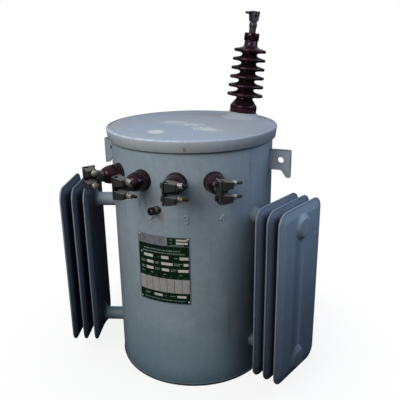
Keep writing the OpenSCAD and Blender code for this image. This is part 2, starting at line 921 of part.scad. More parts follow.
tank_wall();
tank_bottom();
lid_gasket();
lid();
hv_boss();
hv_bushing();
hv_terminal_stud();
hv_terminal_clamp();
hv_clamp_bolt();
lv_gasket(0);  // lv_gasket_1
lv_gasket(1);  // lv_gasket_2
lv_gasket(2);  // lv_gasket_3
lv_gasket(3);  // lv_gasket_4
lv_bushing(0);  // lv_bushing_1
lv_bushing(1);  // lv_bushing_2
lv_bushing(2);  // lv_bushing_3
lv_bushing(3);  // lv_bushing_4
lv_terminal(0);  // lv_terminal_1
lv_terminal(1);  // lv_terminal_2
lv_terminal(2);  // lv_terminal_3
lv_terminal(3);  // lv_terminal_4
lv_clamp_jaws(0);  // lv_clamp_jaws_1
lv_clamp_jaws(1);  // lv_clamp_jaws_2
lv_clamp_jaws(2);  // lv_clamp_jaws_3
lv_clamp_jaws(3);  // lv_clamp_jaws_4
lv_clamp_bolts(0);  // lv_clamp_bolts_1
lv_clamp_bolts(1);  // lv_clamp_bolts_2
lv_clamp_bolts(2);  // lv_clamp_bolts_3
lv_clamp_bolts(3);  // lv_clamp_bolts_4
ground_pad();
ground_nut();
ground_connector();
nameplate();
radiator_panel(-1, 0);  // left_radiator_panel_1
radiator_panel(-1, 1);  // left_radiator_panel_2
radiator_panel(-1, 2);  // left_radiator_panel_3
radiator_panel(1, 0);  // right_radiator_panel_1
radiator_panel(1, 1);  // right_radiator_panel_2
radiator_panel(1, 2);  // right_radiator_panel_3
header(-1, header_high_z);  // left_upper_header
header(-1, header_low_z);  // left_lower_header
header(1, header_high_z);  // right_upper_header
header(1, header_low_z);  // right_lower_header
lifting_lug(-1);  // left_lifting_lug
lifting_lug(1);  // right_lifting_lug
pole_bracket(tank_h - bracket_drop);  // upper_pole_bracket
pole_bracket(bracket_z);  // lower_pole_bracket
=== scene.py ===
"""Dresses a packed pole mounted transformer: its paint, glaze, metal, weld beads and plate, and the stage."""

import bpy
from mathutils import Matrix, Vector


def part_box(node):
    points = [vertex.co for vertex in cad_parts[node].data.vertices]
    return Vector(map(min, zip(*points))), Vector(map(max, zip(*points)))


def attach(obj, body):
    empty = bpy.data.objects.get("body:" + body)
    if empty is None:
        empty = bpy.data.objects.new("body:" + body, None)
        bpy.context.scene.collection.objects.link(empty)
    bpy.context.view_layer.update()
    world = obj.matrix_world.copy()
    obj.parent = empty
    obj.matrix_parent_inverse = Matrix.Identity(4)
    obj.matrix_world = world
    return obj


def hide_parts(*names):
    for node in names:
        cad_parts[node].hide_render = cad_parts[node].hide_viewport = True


bl_info = {
    "name": "Pole mounted transformer",
    "version": (1, 0, 0),
    "blender": (4, 5, 0),
    "location": "View3D > Sidebar > Transformer",
    "description": "Builds the finished pieces of a pole mounted transformer round its packed frame",
    "category": "Object",
}

import math

import bmesh
import bpy
from bpy.props import FloatProperty, FloatVectorProperty, PointerProperty
from mathutils import Matrix, Vector

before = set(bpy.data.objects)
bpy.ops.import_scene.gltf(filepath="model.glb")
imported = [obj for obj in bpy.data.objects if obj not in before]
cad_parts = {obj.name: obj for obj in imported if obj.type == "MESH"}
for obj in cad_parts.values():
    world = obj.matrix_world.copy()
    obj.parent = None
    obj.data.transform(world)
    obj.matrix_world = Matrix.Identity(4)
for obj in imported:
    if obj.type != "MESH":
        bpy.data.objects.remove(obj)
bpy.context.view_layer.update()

# Counts of like features, and the pitch of the plate's columns as a share of its width.
SHEDS = 6
PANELS = 3
COLUMNS = 7
COLUMN_PITCH = 0.1386

# Steps round a weld, the spread of a mark that goes right round the part, the distance at which points merge
# and the shortest edge that a cut leaves.
RING_STEPS = 80
ALL_ROUND = 9.0
DOUBLES = 1e-6
SHORTEST_EDGE = 1e-4

# Properties


def size(name, description, default):
    """A length in metres."""
    return FloatProperty(
        name=name, description=description, default=default, unit="LENGTH", subtype="DISTANCE", precision=4
    )


def angle(name, description, default):
    """An angle, written here in degrees."""
    return FloatProperty(
        name=name, description=description, default=math.radians(default), unit="ROTATION", subtype="ANGLE"
    )


def amount(name, description, default):
    """A plain number."""
    return FloatProperty(name=name, description=description, default=default)


def linear(level):
    """A screen's level of 0 to 255 as linear light."""
    level /= 255
    return level / 12.92 if level <= 0.04045 else ((level + 0.055) / 1.055) ** 2.4


def place(name, description, x, y, z):
    """A point in metres."""
    return FloatVectorProperty(
        name=name, description=description, default=(x, y, z), size=3,
        unit="LENGTH", subtype="XYZ", precision=3,
    )


def colour(name, description, red, green, blue):
    """A colour, written here as 0 to 255 on a screen."""
    return FloatVectorProperty(
        name=name,
        description=description,
        default=(linear(red), linear(green), linear(blue)),
        size=3,
        min=0.0,
        max=1.0,
        subtype="COLOR",
    )


class TankSizes(bpy.types.PropertyGroup):
    """Sizes of the tank and what is welded to it."""

    radius: size("Radius", "Outside radius of the wall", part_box("tank_wall")[1].x)
    height: size("Height", "Top edge of the wall above the ground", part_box("tank_wall")[1].z)
    wall: size("Wall", "Thickness of the wall sheet", 0.004)
    bottom: size("Bottom", "Thickness of the bottom plate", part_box("tank_bottom")[1].z)
    foot_round: size("Foot rounding", "Rounding of the wall's foot", 0.004)
    bead: size("Weld bead", "Radius of the weld beads", 0.0026)
    mark_height: size("Mark height", "Height of a terminal numeral", 0.026)
    mark_level: size("Mark level", "Foot of the terminal numerals above the ground", 0.6)
    mark_shift: angle("Mark shift", "Turn of a numeral from its bushing", 5.8)
    mark_bead: size("Mark bead", "Radius of a numeral's strokes", 0.003)
    seam_turn: angle("Seam", "Direction of the wall's upright weld from the front", 206)
    lug_thick: size("Lug", "Thickness of a lifting lug", 0.012)
    lug_reach: size("Lug reach", "Reach of a lug from the wall", 0.072)
    lug_drop: size("Lug drop", "Depth of a lug's top below the wall's top", 0.057)
    lug_high: size("Lug height", "Height of a lug at the wall", 0.068)
    tooth_drop: size("Tooth drop", "Drop of a lug's tooth", 0.025)
    tooth_wide: size("Tooth width", "Width of the tooth's tip", 0.014)
    tooth_root: size("Tooth root", "Width of the tooth at its root", 0.031)
    lug_hole: size("Lug hole", "Radius of a lug's hole", 0.0105)
    hole_out: size("Hole place", "Middle of a lug's hole from the wall", 0.038)
    hole_drop: size("Hole depth", "Middle of a lug's hole below the lug's top", 0.035)
    bracket_wide: size("Bracket width", "Width of a pole bracket", 0.1)
    bracket_high: size("Bracket height", "Height of a pole bracket's face", 0.1)
    bracket_root: size("Bracket root", "Height of a pole bracket's sides at the tank", 0.15)
    bracket_thick: size("Bracket plate", "Thickness of a pole bracket", 0.008)
    bracket_bend: size("Bracket bend", "Outside radius of a bracket's bends", 0.016)
    bracket_reach: size("Bracket reach", "Distance from the wall to the pole face", 0.062)
    bracket_low: size("Lower bracket", "Bolt level of the lower bracket", 0.125)
    bracket_drop: size("Upper bracket", "Bolt depth of the upper bracket below the wall's top", 0.1325)
    bracket_sunk: size("Bracket foot", "Depth of a bracket's sides behind the wall's face", 0.012)
    slot_half: size("Slot", "Half width of a bolt slot", 0.0105)
    slot_long: size("Slot length", "Length of a bolt slot", 0.045)


class LidSizes(bpy.types.PropertyGroup):
    """Sizes of the lid."""

    level: size("Level", "Shoulder of the lid above the ground", 0.865)
    radius: size("Radius", "Outside radius of the lid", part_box("lid")[1].x)
    sheet: size("Sheet", "Thickness of the lid sheet", 0.005)
    rim: size("Rim", "Depth of the turned-down rim", 0.038)
    lean: size("Lean", "How far the rim leans in", 0.004)
    rounding: size("Rounding", "Outside radius of the rim's corner", 0.006)
    shoulder: size("Shoulder", "Width of the shoulder inside the rim", 0.027)
    dome: size("Dome", "Rise of the dome above the shoulder", 0.014)
    groove: size("Groove", "Depth of the pressed groove in the shoulder", 0.0016)


class HighVoltageSizes(bpy.types.PropertyGroup):
    """Sizes of the tall bushing and its terminal."""

    turn: angle("Direction", "Direction of the bushing from the front", 135)
    inset: size("Inset", "Distance of its foot's middle in from the wall", 0.079)
    lean: angle("Lean", "Outward lean of the bushing", 7)
    boss_rise: size("Boss", "Height of the boss above the lid's shoulder", 0.023)
    boss: size("Boss radius", "Radius of the boss at its top", 0.051)
    foot: size("Foot", "Radius of the porcelain foot", 0.047)
    foot_high: size("Foot height", "Height of the foot up to its shoulder", 0.026)
    neck_high: size("Neck height", "Height where the foot meets the core", 0.046)
    core: size("Core", "Radius of the core at the neck", 0.029)
    core_top: size("Core top", "Radius of the core under the head", 0.026)
    neck: size("Neck", "Radius of the neck under the head", 0.023)
    shed: size("Shed", "Tip radius of the lowest shed", 0.063)
    shed_step: size("Shed step", "Loss of tip radius from shed to shed", 0.0015)
    shed_high: size("Shed height", "Height of the lowest shed's tip", 0.0615)
    shed_pitch: size("Shed pitch", "Height from shed to shed", 0.03)
    shed_tip: size("Shed tip", "Half the thickness of a shed's tip", 0.0055)
    shed_top: angle("Shed top", "Slope of a shed's upper side", 12)
    shed_low: angle("Shed underside", "Slope of a shed's lower side", 4)
    head: size("Head", "Radius of the porcelain head", 0.0255)
    top: size("Top", "Height of the porcelain", 0.27)
    stud: size("Stud", "Radius of the terminal stud", 0.012)
    nut: size("Collar nut", "Radius over the collar nut's corners", 0.0155)
    clamp_level: size("Clamp level", "Foot of the clamp above the boss", 0.308)
    clamp_wide: size("Clamp width", "Width of the clamp along its bolt", 0.029)
    clamp_deep: size("Clamp depth", "Depth of the clamp along its cable", 0.026)
    clamp_high: size("Clamp height", "Height of the clamp", 0.033)
    clamp_foot: size("Clamp foot", "Width of the clamp where it meets the stud", 0.022)
    clamp_taper: size("Clamp taper", "Height of the clamp's tapered foot", 0.023)
    bore_level: size("Bore level", "Height of the cable bore in the clamp", 0.016)
    bolt_level: size("Bolt level", "Height of the bolt in the clamp", 0.026)
    bore: size("Bore", "Radius of the cable bore", 0.005)
    bolt: size("Bolt", "Radius of the clamp's bolt", 0.004)
    bolt_nut: size("Bolt nut", "Radius over its nut's corners", 0.0065)
    bolt_nut_high: size("Bolt nut height", "Height of its nut", 0.006)
    bolt_head: size("Bolt head", "Height of its head", 0.003)
    bolt_tip: size("Bolt tip", "Length of bolt past its nut", 0.013)


class LowVoltageSizes(bpy.types.PropertyGroup):
    """Sizes of the row of small bushings and their twin clamps."""

    pitch: angle("Pitch", "Angle from bushing to bushing", 24)
    level: size("Level", "Height of the bushing axes above the ground", 0.733)
    gasket: size("Gasket", "Radius of a bushing's gasket", 0.0335)
    gasket_thick: size("Gasket thickness", "Distance that the gasket stands out", 0.005)
    foot: size("Foot", "Radius of the porcelain's foot", 0.031)
    foot_long: size("Foot length", "Length of the porcelain's straight foot", 0.012)
    long: size("Length", "Length of the porcelain", 0.054)
    end: size("End", "Radius of the porcelain's end", 0.018)
    collar: size("Collar", "Radius of the terminal's collar", 0.019)
    collar_long: size("Collar length", "Length of the collar", 0.012)
    hexagon: size("Hexagon", "Radius over the hexagon's corners", 0.022)
    hexagon_long: size("Hexagon length", "Length of the hexagon", 0.016)
    spine_place: size("Fixed jaw place", "Fixed jaw's outer side from the bushing's axis", 0.0175)
    spine: size("Fixed jaw", "Thickness of the fixed jaw", 0.007)
    gap: size("Gap", "Air gap between the jaws", 0.002)
    jaw_wide: size("Jaw width", "Width of a loose jaw", 0.034)
    jaw_high: size("Jaw height", "Height of a loose jaw", 0.029)
    jaw_end: size("Jaw end", "Height of a loose jaw at its nut", 0.0185)
    jaw_space: size("Jaw space", "Gap between the two loose jaws", 0.012)
    jaw_deep: size("Jaw depth", "Depth of the jaws", 0.034)
    cable: size("Cable", "Radius of the cable bore", 0.007)
    cable_side: size("Cable side", "Cable bore's axis into the loose jaw", 0.002)
    cable_in: size("Cable place", "Cable bore from the jaws' back", 0.023)
    bolt_in: size("Bolt place", "Bolts from the jaws' back", 0.01)
    bolt: size("Bolt", "Radius of the clamp bolts", 0.005)
    nut: size("Nut", "Radius over a nut's corners", 0.009)
    nut_high: size("Nut height", "Height of heads and nuts", 0.014)
    washer: size("Washer", "Thickness of the washer under a nut", 0.0035)
    bolt_head: size("Bolt head", "Height of a bolt's head", 0.007)
    tip: size("Tip", "Length of bolt past its nut", 0.017)


class FrontSizes(bpy.types.PropertyGroup):
    """Sizes of the ground connector and the plate."""

    ground_level: size("Ground level", "Height of the ground connector", 0.641)
    ground_turn: angle("Ground direction", "Direction of the ground connector from the front", -1.5)
    ground_skew: angle("Ground skew", "Turn of the connector's axis towards the left-hand side", 26)
    pad: size("Pad", "Radius of the welded pad", 0.0105)
    pad_thick: size("Pad thickness", "Distance that the pad stands out", 0.005)
    nut: size("Nut", "Radius over the ground nut's corners", 0.01)
    nut_high: size("Nut height", "Height of the ground nut", 0.007)
    connector: size("Connector", "Radius of the connector", 0.012)
    connector_long: size("Connector length", "Length of the connector", 0.018)
    bore: size("Bore", "Radius of the connector's bore", 0.005)
    plate_wide: size("Plate width", "Width of the plate round the wall", 0.183)
    plate_high: size("Plate height", "Height of the plate", 0.236)
    plate_foot: size("Plate foot", "Lower edge of the plate above the ground", 0.319)
    plate_turn: angle("Plate direction", "Direction of the plate's middle from the front", 1)
    plate_thick: size("Plate thickness", "Thickness of the plate", 0.0015)
    plate_gap: size("Plate gap", "Gap between the wall and the plate", 0.0002)
    print_thick: size("Print", "Thickness of the printed fields", 0.0002)
    rivet: size("Rivet", "Radius of a rivet's head", 0.0042)


class RadiatorSizes(bpy.types.PropertyGroup):
    """Sizes of the pressed radiators and their header pipes."""

    turn: angle("Direction", "Direction of each radiator from the front", 72)
    shift: size("Shift", "Shift of each radiator towards the front", 0.012)
    gap: size("Gap", "Innermost panel's middle from the wall", 0.084)
    pitch: size("Pitch", "Distance from panel to panel", 0.04)
    foot: size("Foot", "Lower edge of the panels above the ground", 0.072)
    high: size("Height", "Height of a panel", 0.592)
    wide: size("Width", "Width of a panel", 0.251)
    thick: size("Thickness", "Thickness of a panel", 0.02)
    seam: size("Seam", "Thickness of the seam round its edge", 0.006)
    seam_wide: size("Seam width", "Width of the seam", 0.006)
    slope: size("Slope", "Width of the slope between seam and face", 0.026)
    rounding: size("Rounding", "Radius of a panel's corners", 0.041)
    crease: size("Crease", "Half width of the crease", 0.016)
    crease_deep: size("Crease depth", "Depth of the crease", 0.004)
    crown: size("Crown", "Swelling of the faces beside the crease", 0.0012)
    collar: size("Collar", "Radius of a collar's foot", 0.04)
    collar_end: size("Collar end", "Radius of a collar's end", 0.03)
    dome: size("Dome", "Rise of the domed collars", 0.01)
    dome_top: size("Dome top", "Radius of a closed collar's flat top", 0.029)
    header: size("Header", "Outside radius of the header pipes", 0.02415)
    header_wall: size("Header wall", "Wall of the header pipes", 0.003)
    # Share of painted shade on the faces between the panels.
    soot: amount("Soot", "Share of dirt on the faces between the panels", 0.75)
    header_low: size("Lower header", "Lower header axis from the panels' lower ends", 0.056)
    header_top: size("Upper header", "Upper header axis from the panels' upper ends", 0.069)


class Finishes(bpy.types.PropertyGroup):
    """Colours of the finishes."""

    tank: colour("Tank paint", "Grey paint of the tank", 129, 143, 153)
    tank_faded: colour("Faded tank paint", "Chalked patches of the tank's paint", 146, 157, 165)
    lid: colour("Lid paint", "Grey paint of the lid", 154, 167, 181)
    lid_faded: colour("Faded lid paint", "Chalked patches of the lid's paint", 165, 163, 164)
    lid_dust: colour("Rim dust", "Warm dust on the lid's rim", 146, 149, 143)
    # Painted highlight: the pale colour laid along the lid's front edge, where light catches its rounding.
    lid_rubbed: colour("Rubbed lid paint", "The lid's edge where it is rubbed pale", 200, 214, 224)
    radiator: colour("Radiator paint", "Blue-grey paint of the radiators", 106, 119, 135)
    radiator_faded: colour("Faded radiator paint", "Chalked patches of the radiators", 122, 133, 147)
    # Painted light: the paler colour laid on the radiators' outer faces towards the top and beside the
    # crease.
    radiator_pale: colour("Pale radiator paint", "Radiator paint bleached towards the top", 147, 166, 179)
    grime: colour("Grime", "Dirt that runs down and settles", 68, 82, 86)
    # A darker, bluer tone laid over the tank's lower part, fading upwards.
    damp: colour("Damp", "Stain that the ground leaves on the tank's foot", 76, 114, 130)
    rust: colour("Rust", "Rust stains", 112, 78, 44)
    chalk: colour("Chalk", "Pale scuffs and dried paint", 206, 209, 205)
    glaze: colour("Glaze", "Dark brown glaze", 26, 12, 17)
    glaze_thin: colour("Thin glaze", "Glaze where it runs thin", 46, 22, 27)
    dust: colour("Dust", "Dust on the porcelain", 116, 104, 100)
    bronze: colour("Bronze", "Dull tinned bronze", 46, 46, 47)
    bronze_worn: colour("Worn bronze", "Bronze where it is rubbed", 75, 74, 73)
    metal_dust: colour("Metal dust", "Dust on the clamps", 128, 128, 124)
    # Dark colour for painted shade between the radiator panels, on the tank's flanks, foot and rim band, in
    # the lug holes and round the swelling, and for a few dirt marks.
    soot: colour("Soot", "Dirt between the radiator panels", 20, 25, 34)
    zinc: colour("Zinc", "Bright plated nuts", 202, 194, 180)
    zinc_dull: colour("Dull zinc", "Plating gone dull", 132, 128, 120)
    brass: colour("Brass", "The one brass nut", 170, 146, 92)
    brass_dull: colour("Dull brass", "Brass gone dull", 122, 102, 60)
    steel: colour("Dark steel", "Black bolts", 46, 45, 46)
    steel_worn: colour("Worn steel", "Black bolts where rubbed", 88, 85, 80)
    rubber: colour("Rubber", "Black gaskets", 20, 20, 22)
    rubber_dusty: colour("Dusty rubber", "Dust on the gaskets", 34, 31, 33)
    silver: colour("Silver", "Bare metal of the plate", 136, 141, 149)
    silver_dull: colour("Dull silver", "Plate metal gone dull", 106, 109, 115)
    green: colour("Green", "Printed ground of the plate", 3, 29, 17)
    green_faded: colour("Faded green", "Printed ground where it has faded", 10, 41, 26)
    field: colour("Field", "Pale printed fields", 190, 188, 180)
    field_dull: colour("Dull field", "Pale fields gone dull", 160, 156, 148)
    table: colour("Table", "Greyer columns of the table", 150, 149, 147)
    table_dull: colour("Dull table", "Table gone dull", 120, 119, 117)
    small_print: colour("Small print", "Faint dashes", 120, 132, 124)
    small_print_dull: colour("Dull small print", "Dashes gone dull", 84, 104, 92)


class StageSettings(bpy.types.PropertyGroup):
    """Camera, lamps and floor."""

    azimuth: angle("Azimuth", "Direction of the camera from the front", 22.56)
    distance: size("Distance", "Level distance of the camera from the tank's axis", 1.811)
    eye: size("Eye", "Height of the camera", 1.189)
    pitch: angle("Pitch", "Downward tilt of the camera", 18.4)
    yaw: angle("Yaw", "Sideways turn of the camera", 0.78)
    roll: angle("Roll", "Roll of the camera", -0.88)
    lens: amount("Lens", "Focal length in millimetres", 47.68)
    key: amount("Key", "Power of the key lamp in watts", 60)
    key_place: place("Key place", "Where the key lamp hangs", -0.6, -2.3, 2.1)
    key_wide: size("Key width", "Width of the key lamp", 1.8)
    fill: amount("Fill", "Power of the fill lamp in watts", 5.5)
    fill_place: place("Fill place", "Where the fill lamp hangs", 1.15, 0.15, 1.4)
    fill_wide: size("Fill width", "Width of the fill lamp", 0.7)
    sky: amount("Sky", "Strength of the sky above", 0.64)
    ground: amount("Ground", "Strength of the light from below", 0.03)
    key_tint: colour("Key tint", "Colour of the key lamp", 255, 250, 241)
    fill_tint: colour("Fill tint", "Colour of the fill lamp", 200, 221, 255)
    sky_tint: colour("Sky tint", "Colour of the sky's light", 226, 238, 255)
    floor: colour("Floor", "Colour of the floor", 240, 240, 240)
    floor_bounce: colour("Floor bounce", "Colour that the floor throws back", 46, 46, 45)


# Meshes


def on_wall(turn, level):
    """Turns local x, y, z into along the wall, up and outwards, at an angle from the front."""
    return (
        Matrix.Rotation(turn, 4, "Z")
        @ Matrix.Translation((0, 0, level))
        @ Matrix.Rotation(math.pi / 2, 4, "X")
    )


def on_boss(scene):
    """The tall bushing's own frame: z along its leaning axis, 0 at the boss top."""
    s = scene.transformer_high
    stand = (0, s.inset - scene.transformer_tank.radius, scene.transformer_lid.level + s.boss_rise)
    return (
        Matrix.Rotation(s.turn, 4, "Z") @ Matrix.Translation(stand) @ Matrix.Rotation(s.lean, 4, "X")
    )


def arc(x, y, radius, start, stop, steps):
    """Points on an arc, from one angle in degrees to another."""
    turns = [math.radians(start + (stop - start) * i / steps) for i in range(steps + 1)]
    return [(x + radius * math.cos(t), y + radius * math.sin(t)) for t in turns]


def tidy(bm):
    """Merges doubles and turns all faces outwards."""
    bmesh.ops.remove_doubles(bm, verts=bm.verts, dist=DOUBLES)
    bmesh.ops.recalc_face_normals(bm, faces=bm.faces)
    return bm


def everything(bm):
    return bm.verts[:] + bm.edges[:] + bm.faces[:]


def trim(bm, point, normal):
    """Takes off what lies beyond a plane and closes the cut."""
    bmesh.ops.bisect_plane(bm, geom=everything(bm), plane_co=point, plane_no=normal, clear_outer=True)
    bmesh.ops.holes_fill(bm, edges=[e for e in bm.edges if e.is_boundary], sides=0)


def turned(profile, steps=96, ring=False):
    """Spins a profile of (radius, height) points about z. A ring's profile closes on itself."""
    bm = bmesh.new()
    verts = [bm.verts.new((r, 0, z)) for r, z in profile]
    pairs = list(zip(verts, verts[1:] + verts[:1])) if ring else list(zip(verts, verts[1:]))
    edges = [bm.edges.new(pair) for pair in pairs]
    bmesh.ops.spin(
        bm, geom=verts + edges, cent=(0, 0, 0), axis=(0, 0, 1), dvec=(0, 0, 0),
        angle=2 * math.pi, steps=steps, use_merge=True, use_duplicate=False,
    )
    return tidy(bm)


def plate(corners, depth):
    """Extrudes an outline of (x, y, rounding) corners along z."""
    bm = bmesh.new()
    verts = [bm.verts.new((x, y, 0)) for x, y, _ in corners]
    bm.faces.new(verts)
    for rounding in sorted({c[2] for c in corners} - {0}):
        bmesh.ops.bevel(
            bm, geom=[v for v, c in zip(verts, corners) if v.is_valid and c[2] == rounding],
            offset=rounding, segments=5, profile=0.5, affect="VERTICES", material=-1,
        )
    made = bmesh.ops.extrude_face_region(bm, geom=bm.faces[:])["geom"]
    raised = [v for v in made if isinstance(v, bmesh.types.BMVert)]
    bmesh.ops.translate(bm, vec=(0, 0, depth), verts=raised)
    return tidy(bm)


def rod(radius, low, high, steps=48):
    """A plain round bar along z, for cutting holes."""
    return turned([(0, low), (radius, low), (radius, high), (0, high)], steps)


def threaded(radius, low, high, pitch=0.0021, depth=0.0007, chamfer=0.0012):
    """A threaded bar along z with chamfered ends."""
    count = max(2, int((high - low - 2 * chamfer) / pitch))
    step = (high - low - 2 * chamfer) / count
    points = [(0, low), (radius - chamfer, low)]
    for i in range(count):
        points += [(radius, low + chamfer + step * i), (radius - depth, low + chamfer + step * (i + 0.5))]
    points += [(radius, high - chamfer), (radius - chamfer, high), (0, high)]
    return turned(points, 24)


def hexagon(radius, low, high, chamfer=0.0008):
    """A hexagonal bar along z with chamfered ends."""
    bm = bmesh.new()
    bmesh.ops.create_cone(bm, cap_ends=True, segments=6, radius1=radius, radius2=radius, depth=high - low)
    bmesh.ops.translate(bm, vec=(0, 0, (low + high) / 2), verts=bm.verts)
    bmesh.ops.bevel(
        bm, geom=bm.edges[:], offset=chamfer, segments=2, profile=0.5, affect="EDGES", material=-1
    )
    return tidy(bm)


def washer(outer, inner, low, high):
    """A flat ring along z with softened edges."""
    soft = (high - low) / 4
    profile = [
        (inner, low), (outer - soft, low), (outer, low + soft),
        (outer, high - soft), (outer - soft, high), (inner, high),
    ]
    return turned(profile, 48, ring=True)


def put(target, part, place=None):
    """Moves a part to its place and adds it to another mesh."""
    if place is not None:
        part.transform(place)
    mesh = bpy.data.meshes.new("part")
    part.to_mesh(mesh)
    part.free()
    target.from_mesh(mesh)
    bpy.data.meshes.remove(mesh)
    return target


def gathered(*parts):
    """Adds (part, place) pairs together in one mesh."""
    bm = bmesh.new()
    for part, place in parts:
        put(bm, part, place)
    return bm


def as_object(bm, name):
    """Makes a bmesh an object of the scene and frees it."""
    mesh = bpy.data.meshes.new(name)
    bm.to_mesh(mesh)
    bm.free()
    made = bpy.data.objects.new(name, mesh)
    bpy.context.scene.collection.objects.link(made)
    return made


def from_object(work):
    """Takes an object's evaluated mesh into a bmesh and removes the object."""
    shaped = work.evaluated_get(bpy.context.evaluated_depsgraph_get())
    mesh = bpy.data.meshes.new_from_object(shaped)
    bm = bmesh.new()
    bm.from_mesh(mesh)
    bpy.data.meshes.remove(mesh)
    data = work.data
    bpy.data.objects.remove(work)
    (bpy.data.curves if isinstance(data, bpy.types.Curve) else bpy.data.meshes).remove(data)
    return bm


def cut(body, *cutters):
    """Takes the shapes of the cutters out of a body, and merges edges too short to be rounded."""
    work = as_object(body, "work")
    tools = [as_object(c, "tool") for c in cutters]
    for tool in tools:
        change = work.modifiers.new("cut", "BOOLEAN")
        change.operation = "DIFFERENCE"
        change.solver = "EXACT"
        change.object = tool
    bm = from_object(work)
    for tool in tools:
        data = tool.data
        bpy.data.objects.remove(tool)
        bpy.data.meshes.remove(data)
    bmesh.ops.dissolve_degenerate(bm, dist=SHORTEST_EDGE, edges=bm.edges)
    return tidy(bm)


def bead(points, radius, closed=False, ripple=0.16):
    """A rippled weld bead along a path."""
    curve = bpy.data.curves.new("bead", "CURVE")
    curve.dimensions = "3D"
    curve.bevel_depth = radius
    curve.bevel_resolution = 2
    curve.use_fill_caps = True
    spline = curve.splines.new("POLY")
    spline.points.add(len(points) - 1)
    for i, (point, place) in enumerate(zip(spline.points, points)):
        point.co = (*place, 1)
        point.radius = 1 + ripple * math.sin(2.1 * i) + ripple * 0.6 * math.sin(0.37 * i)
    spline.use_cyclic_u = closed
    work = bpy.data.objects.new("bead", curve)
    bpy.context.scene.collection.objects.link(work)
    return tidy(from_object(work))


def along(start, stop, step=0.003):
    """Points along a straight line."""
    a, b = Vector(start), Vector(stop)
    count = max(2, int((b - a).length / step))
    return [a.lerp(b, i / count) for i in range(count + 1)]


def wall_ring(tank_radius, turn, level, radius, shift=0.0, stretch=1.0):
    """The line where a pipe of that radius meets the tank wall, shifted and stretched along the wall."""
    place = on_wall(turn, level)
    points = []
    for i in range(RING_STEPS):
        t = 2 * math.pi * i / RING_STEPS
        x = shift + stretch * radius * math.cos(t)
        y = radius * math.sin(t)
        points.append(place @ Vector((x, y, math.sqrt(tank_radius ** 2 - x ** 2))))
    return points


def finished(name, bm, finish, stands_for=(), soft=0.0, sharp=38.0, soft_angle=30.0):
    """Makes a mesh a piece that rides on the frame. soft is the width that its edges are rounded by."""
    for face in bm.faces:
        face.smooth = True
    for edge in bm.edges:
        blunt = edge.calc_face_angle(0.0) < math.radians(sharp)
        edge.smooth = bool(soft) or len(edge.link_faces) != 2 or blunt
    piece = as_object(bm, name)
    piece.data.materials.append(finish)
    if soft:
        change = piece.modifiers.new("softened edges", "BEVEL")
        change.width = soft
        change.segments = 2
        change.limit_method = "ANGLE"
        change.angle_limit = math.radians(soft_angle)
        change.harden_normals = True
    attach(piece, "root")
    if stands_for:
        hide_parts(*stands_for)
    return piece


# Shader nodes


def add(tree, kind, sockets=None, **settings):
    """Adds a node. Sockets take either a value or another node's output."""
    made = tree.nodes.new("ShaderNode" + kind)
    for name, value in settings.items():
        setattr(made, name, value)
    for name, value in (sockets or {}).items():
        if isinstance(value, bpy.types.NodeSocket):
            tree.links.new(value, made.inputs[name])
        else:
            made.inputs[name].default_value = value
    return made


def calc(tree, operation, a, b=0.0):
    return add(tree, "Math", {0: a, 1: b}, operation=operation).outputs[0]


def blend(tree, factor, a, b, mode="MIX"):
    return add(tree, "Mix", {0: factor, 6: a, 7: b}, data_type="RGBA", blend_type=mode).outputs[2]


def ramp(tree, value, low, high, start=0.0, stop=1.0):
    """A smooth step of a value between two levels."""
    return add(
        tree, "MapRange", {0: value, 1: low, 2: high, 3: start, 4: stop}, interpolation_type="SMOOTHSTEP"
    ).outputs[0]


def toned(tree, shade, tone):
    """A colour made lighter or darker by a value."""
    grey = add(tree, "CombineColor", {0: tone, 1: tone, 2: tone}).outputs[0]
    return blend(tree, 1.0, shade, grey, "MULTIPLY")


def facing_up(tree):
    """How far a surface faces upwards."""
    return add(tree, "SeparateXYZ", {0: add(tree, "NewGeometry").outputs["Normal"]}).outputs[2]


def seen(tree):
    """A mask of what the camera sees, straight or through something clear."""
    path = add(tree, "LightPath").outputs
    return calc(tree, "MAXIMUM", path["Is Camera Ray"], path["Is Transmission Ray"])


def noise(tree, place, scale, detail=3.0, rough=0.55):
    sockets = {"Vector": place, "Scale": scale, "Detail": detail, "Roughness": rough}
    return add(tree, "TexNoise", sockets).outputs[0]


def stretched(tree, place, scale, turn=(0, 0, 0), shift=(0, 0, 0)):
    return add(
        tree, "Mapping", {"Vector": place, "Scale": scale, "Rotation": turn, "Location": shift}
    ).outputs[0]


def rgba(value):
    return (*value, 1.0)


def node_group(name, inputs, outputs):
    """A new shader group with its sockets; inputs are (name, kind, default)."""
    tree = bpy.data.node_groups.new(name, "ShaderNodeTree")
    for label, kind, default in inputs:
        socket = tree.interface.new_socket(label, in_out="INPUT", socket_type="NodeSocket" + kind)
        socket.default_value = default
    for label, kind in outputs:
        tree.interface.new_socket(label, in_out="OUTPUT", socket_type="NodeSocket" + kind)
    return tree, tree.nodes.new("NodeGroupInput").outputs, tree.nodes.new("NodeGroupOutput").inputs


def made_once(build):
    """The group that a function builds, built the first time only."""
    def get():
        return bpy.data.node_groups.get(build.__name__) or build(build.__name__)
    return get


GREY = (0.2, 0.2, 0.2, 1.0)


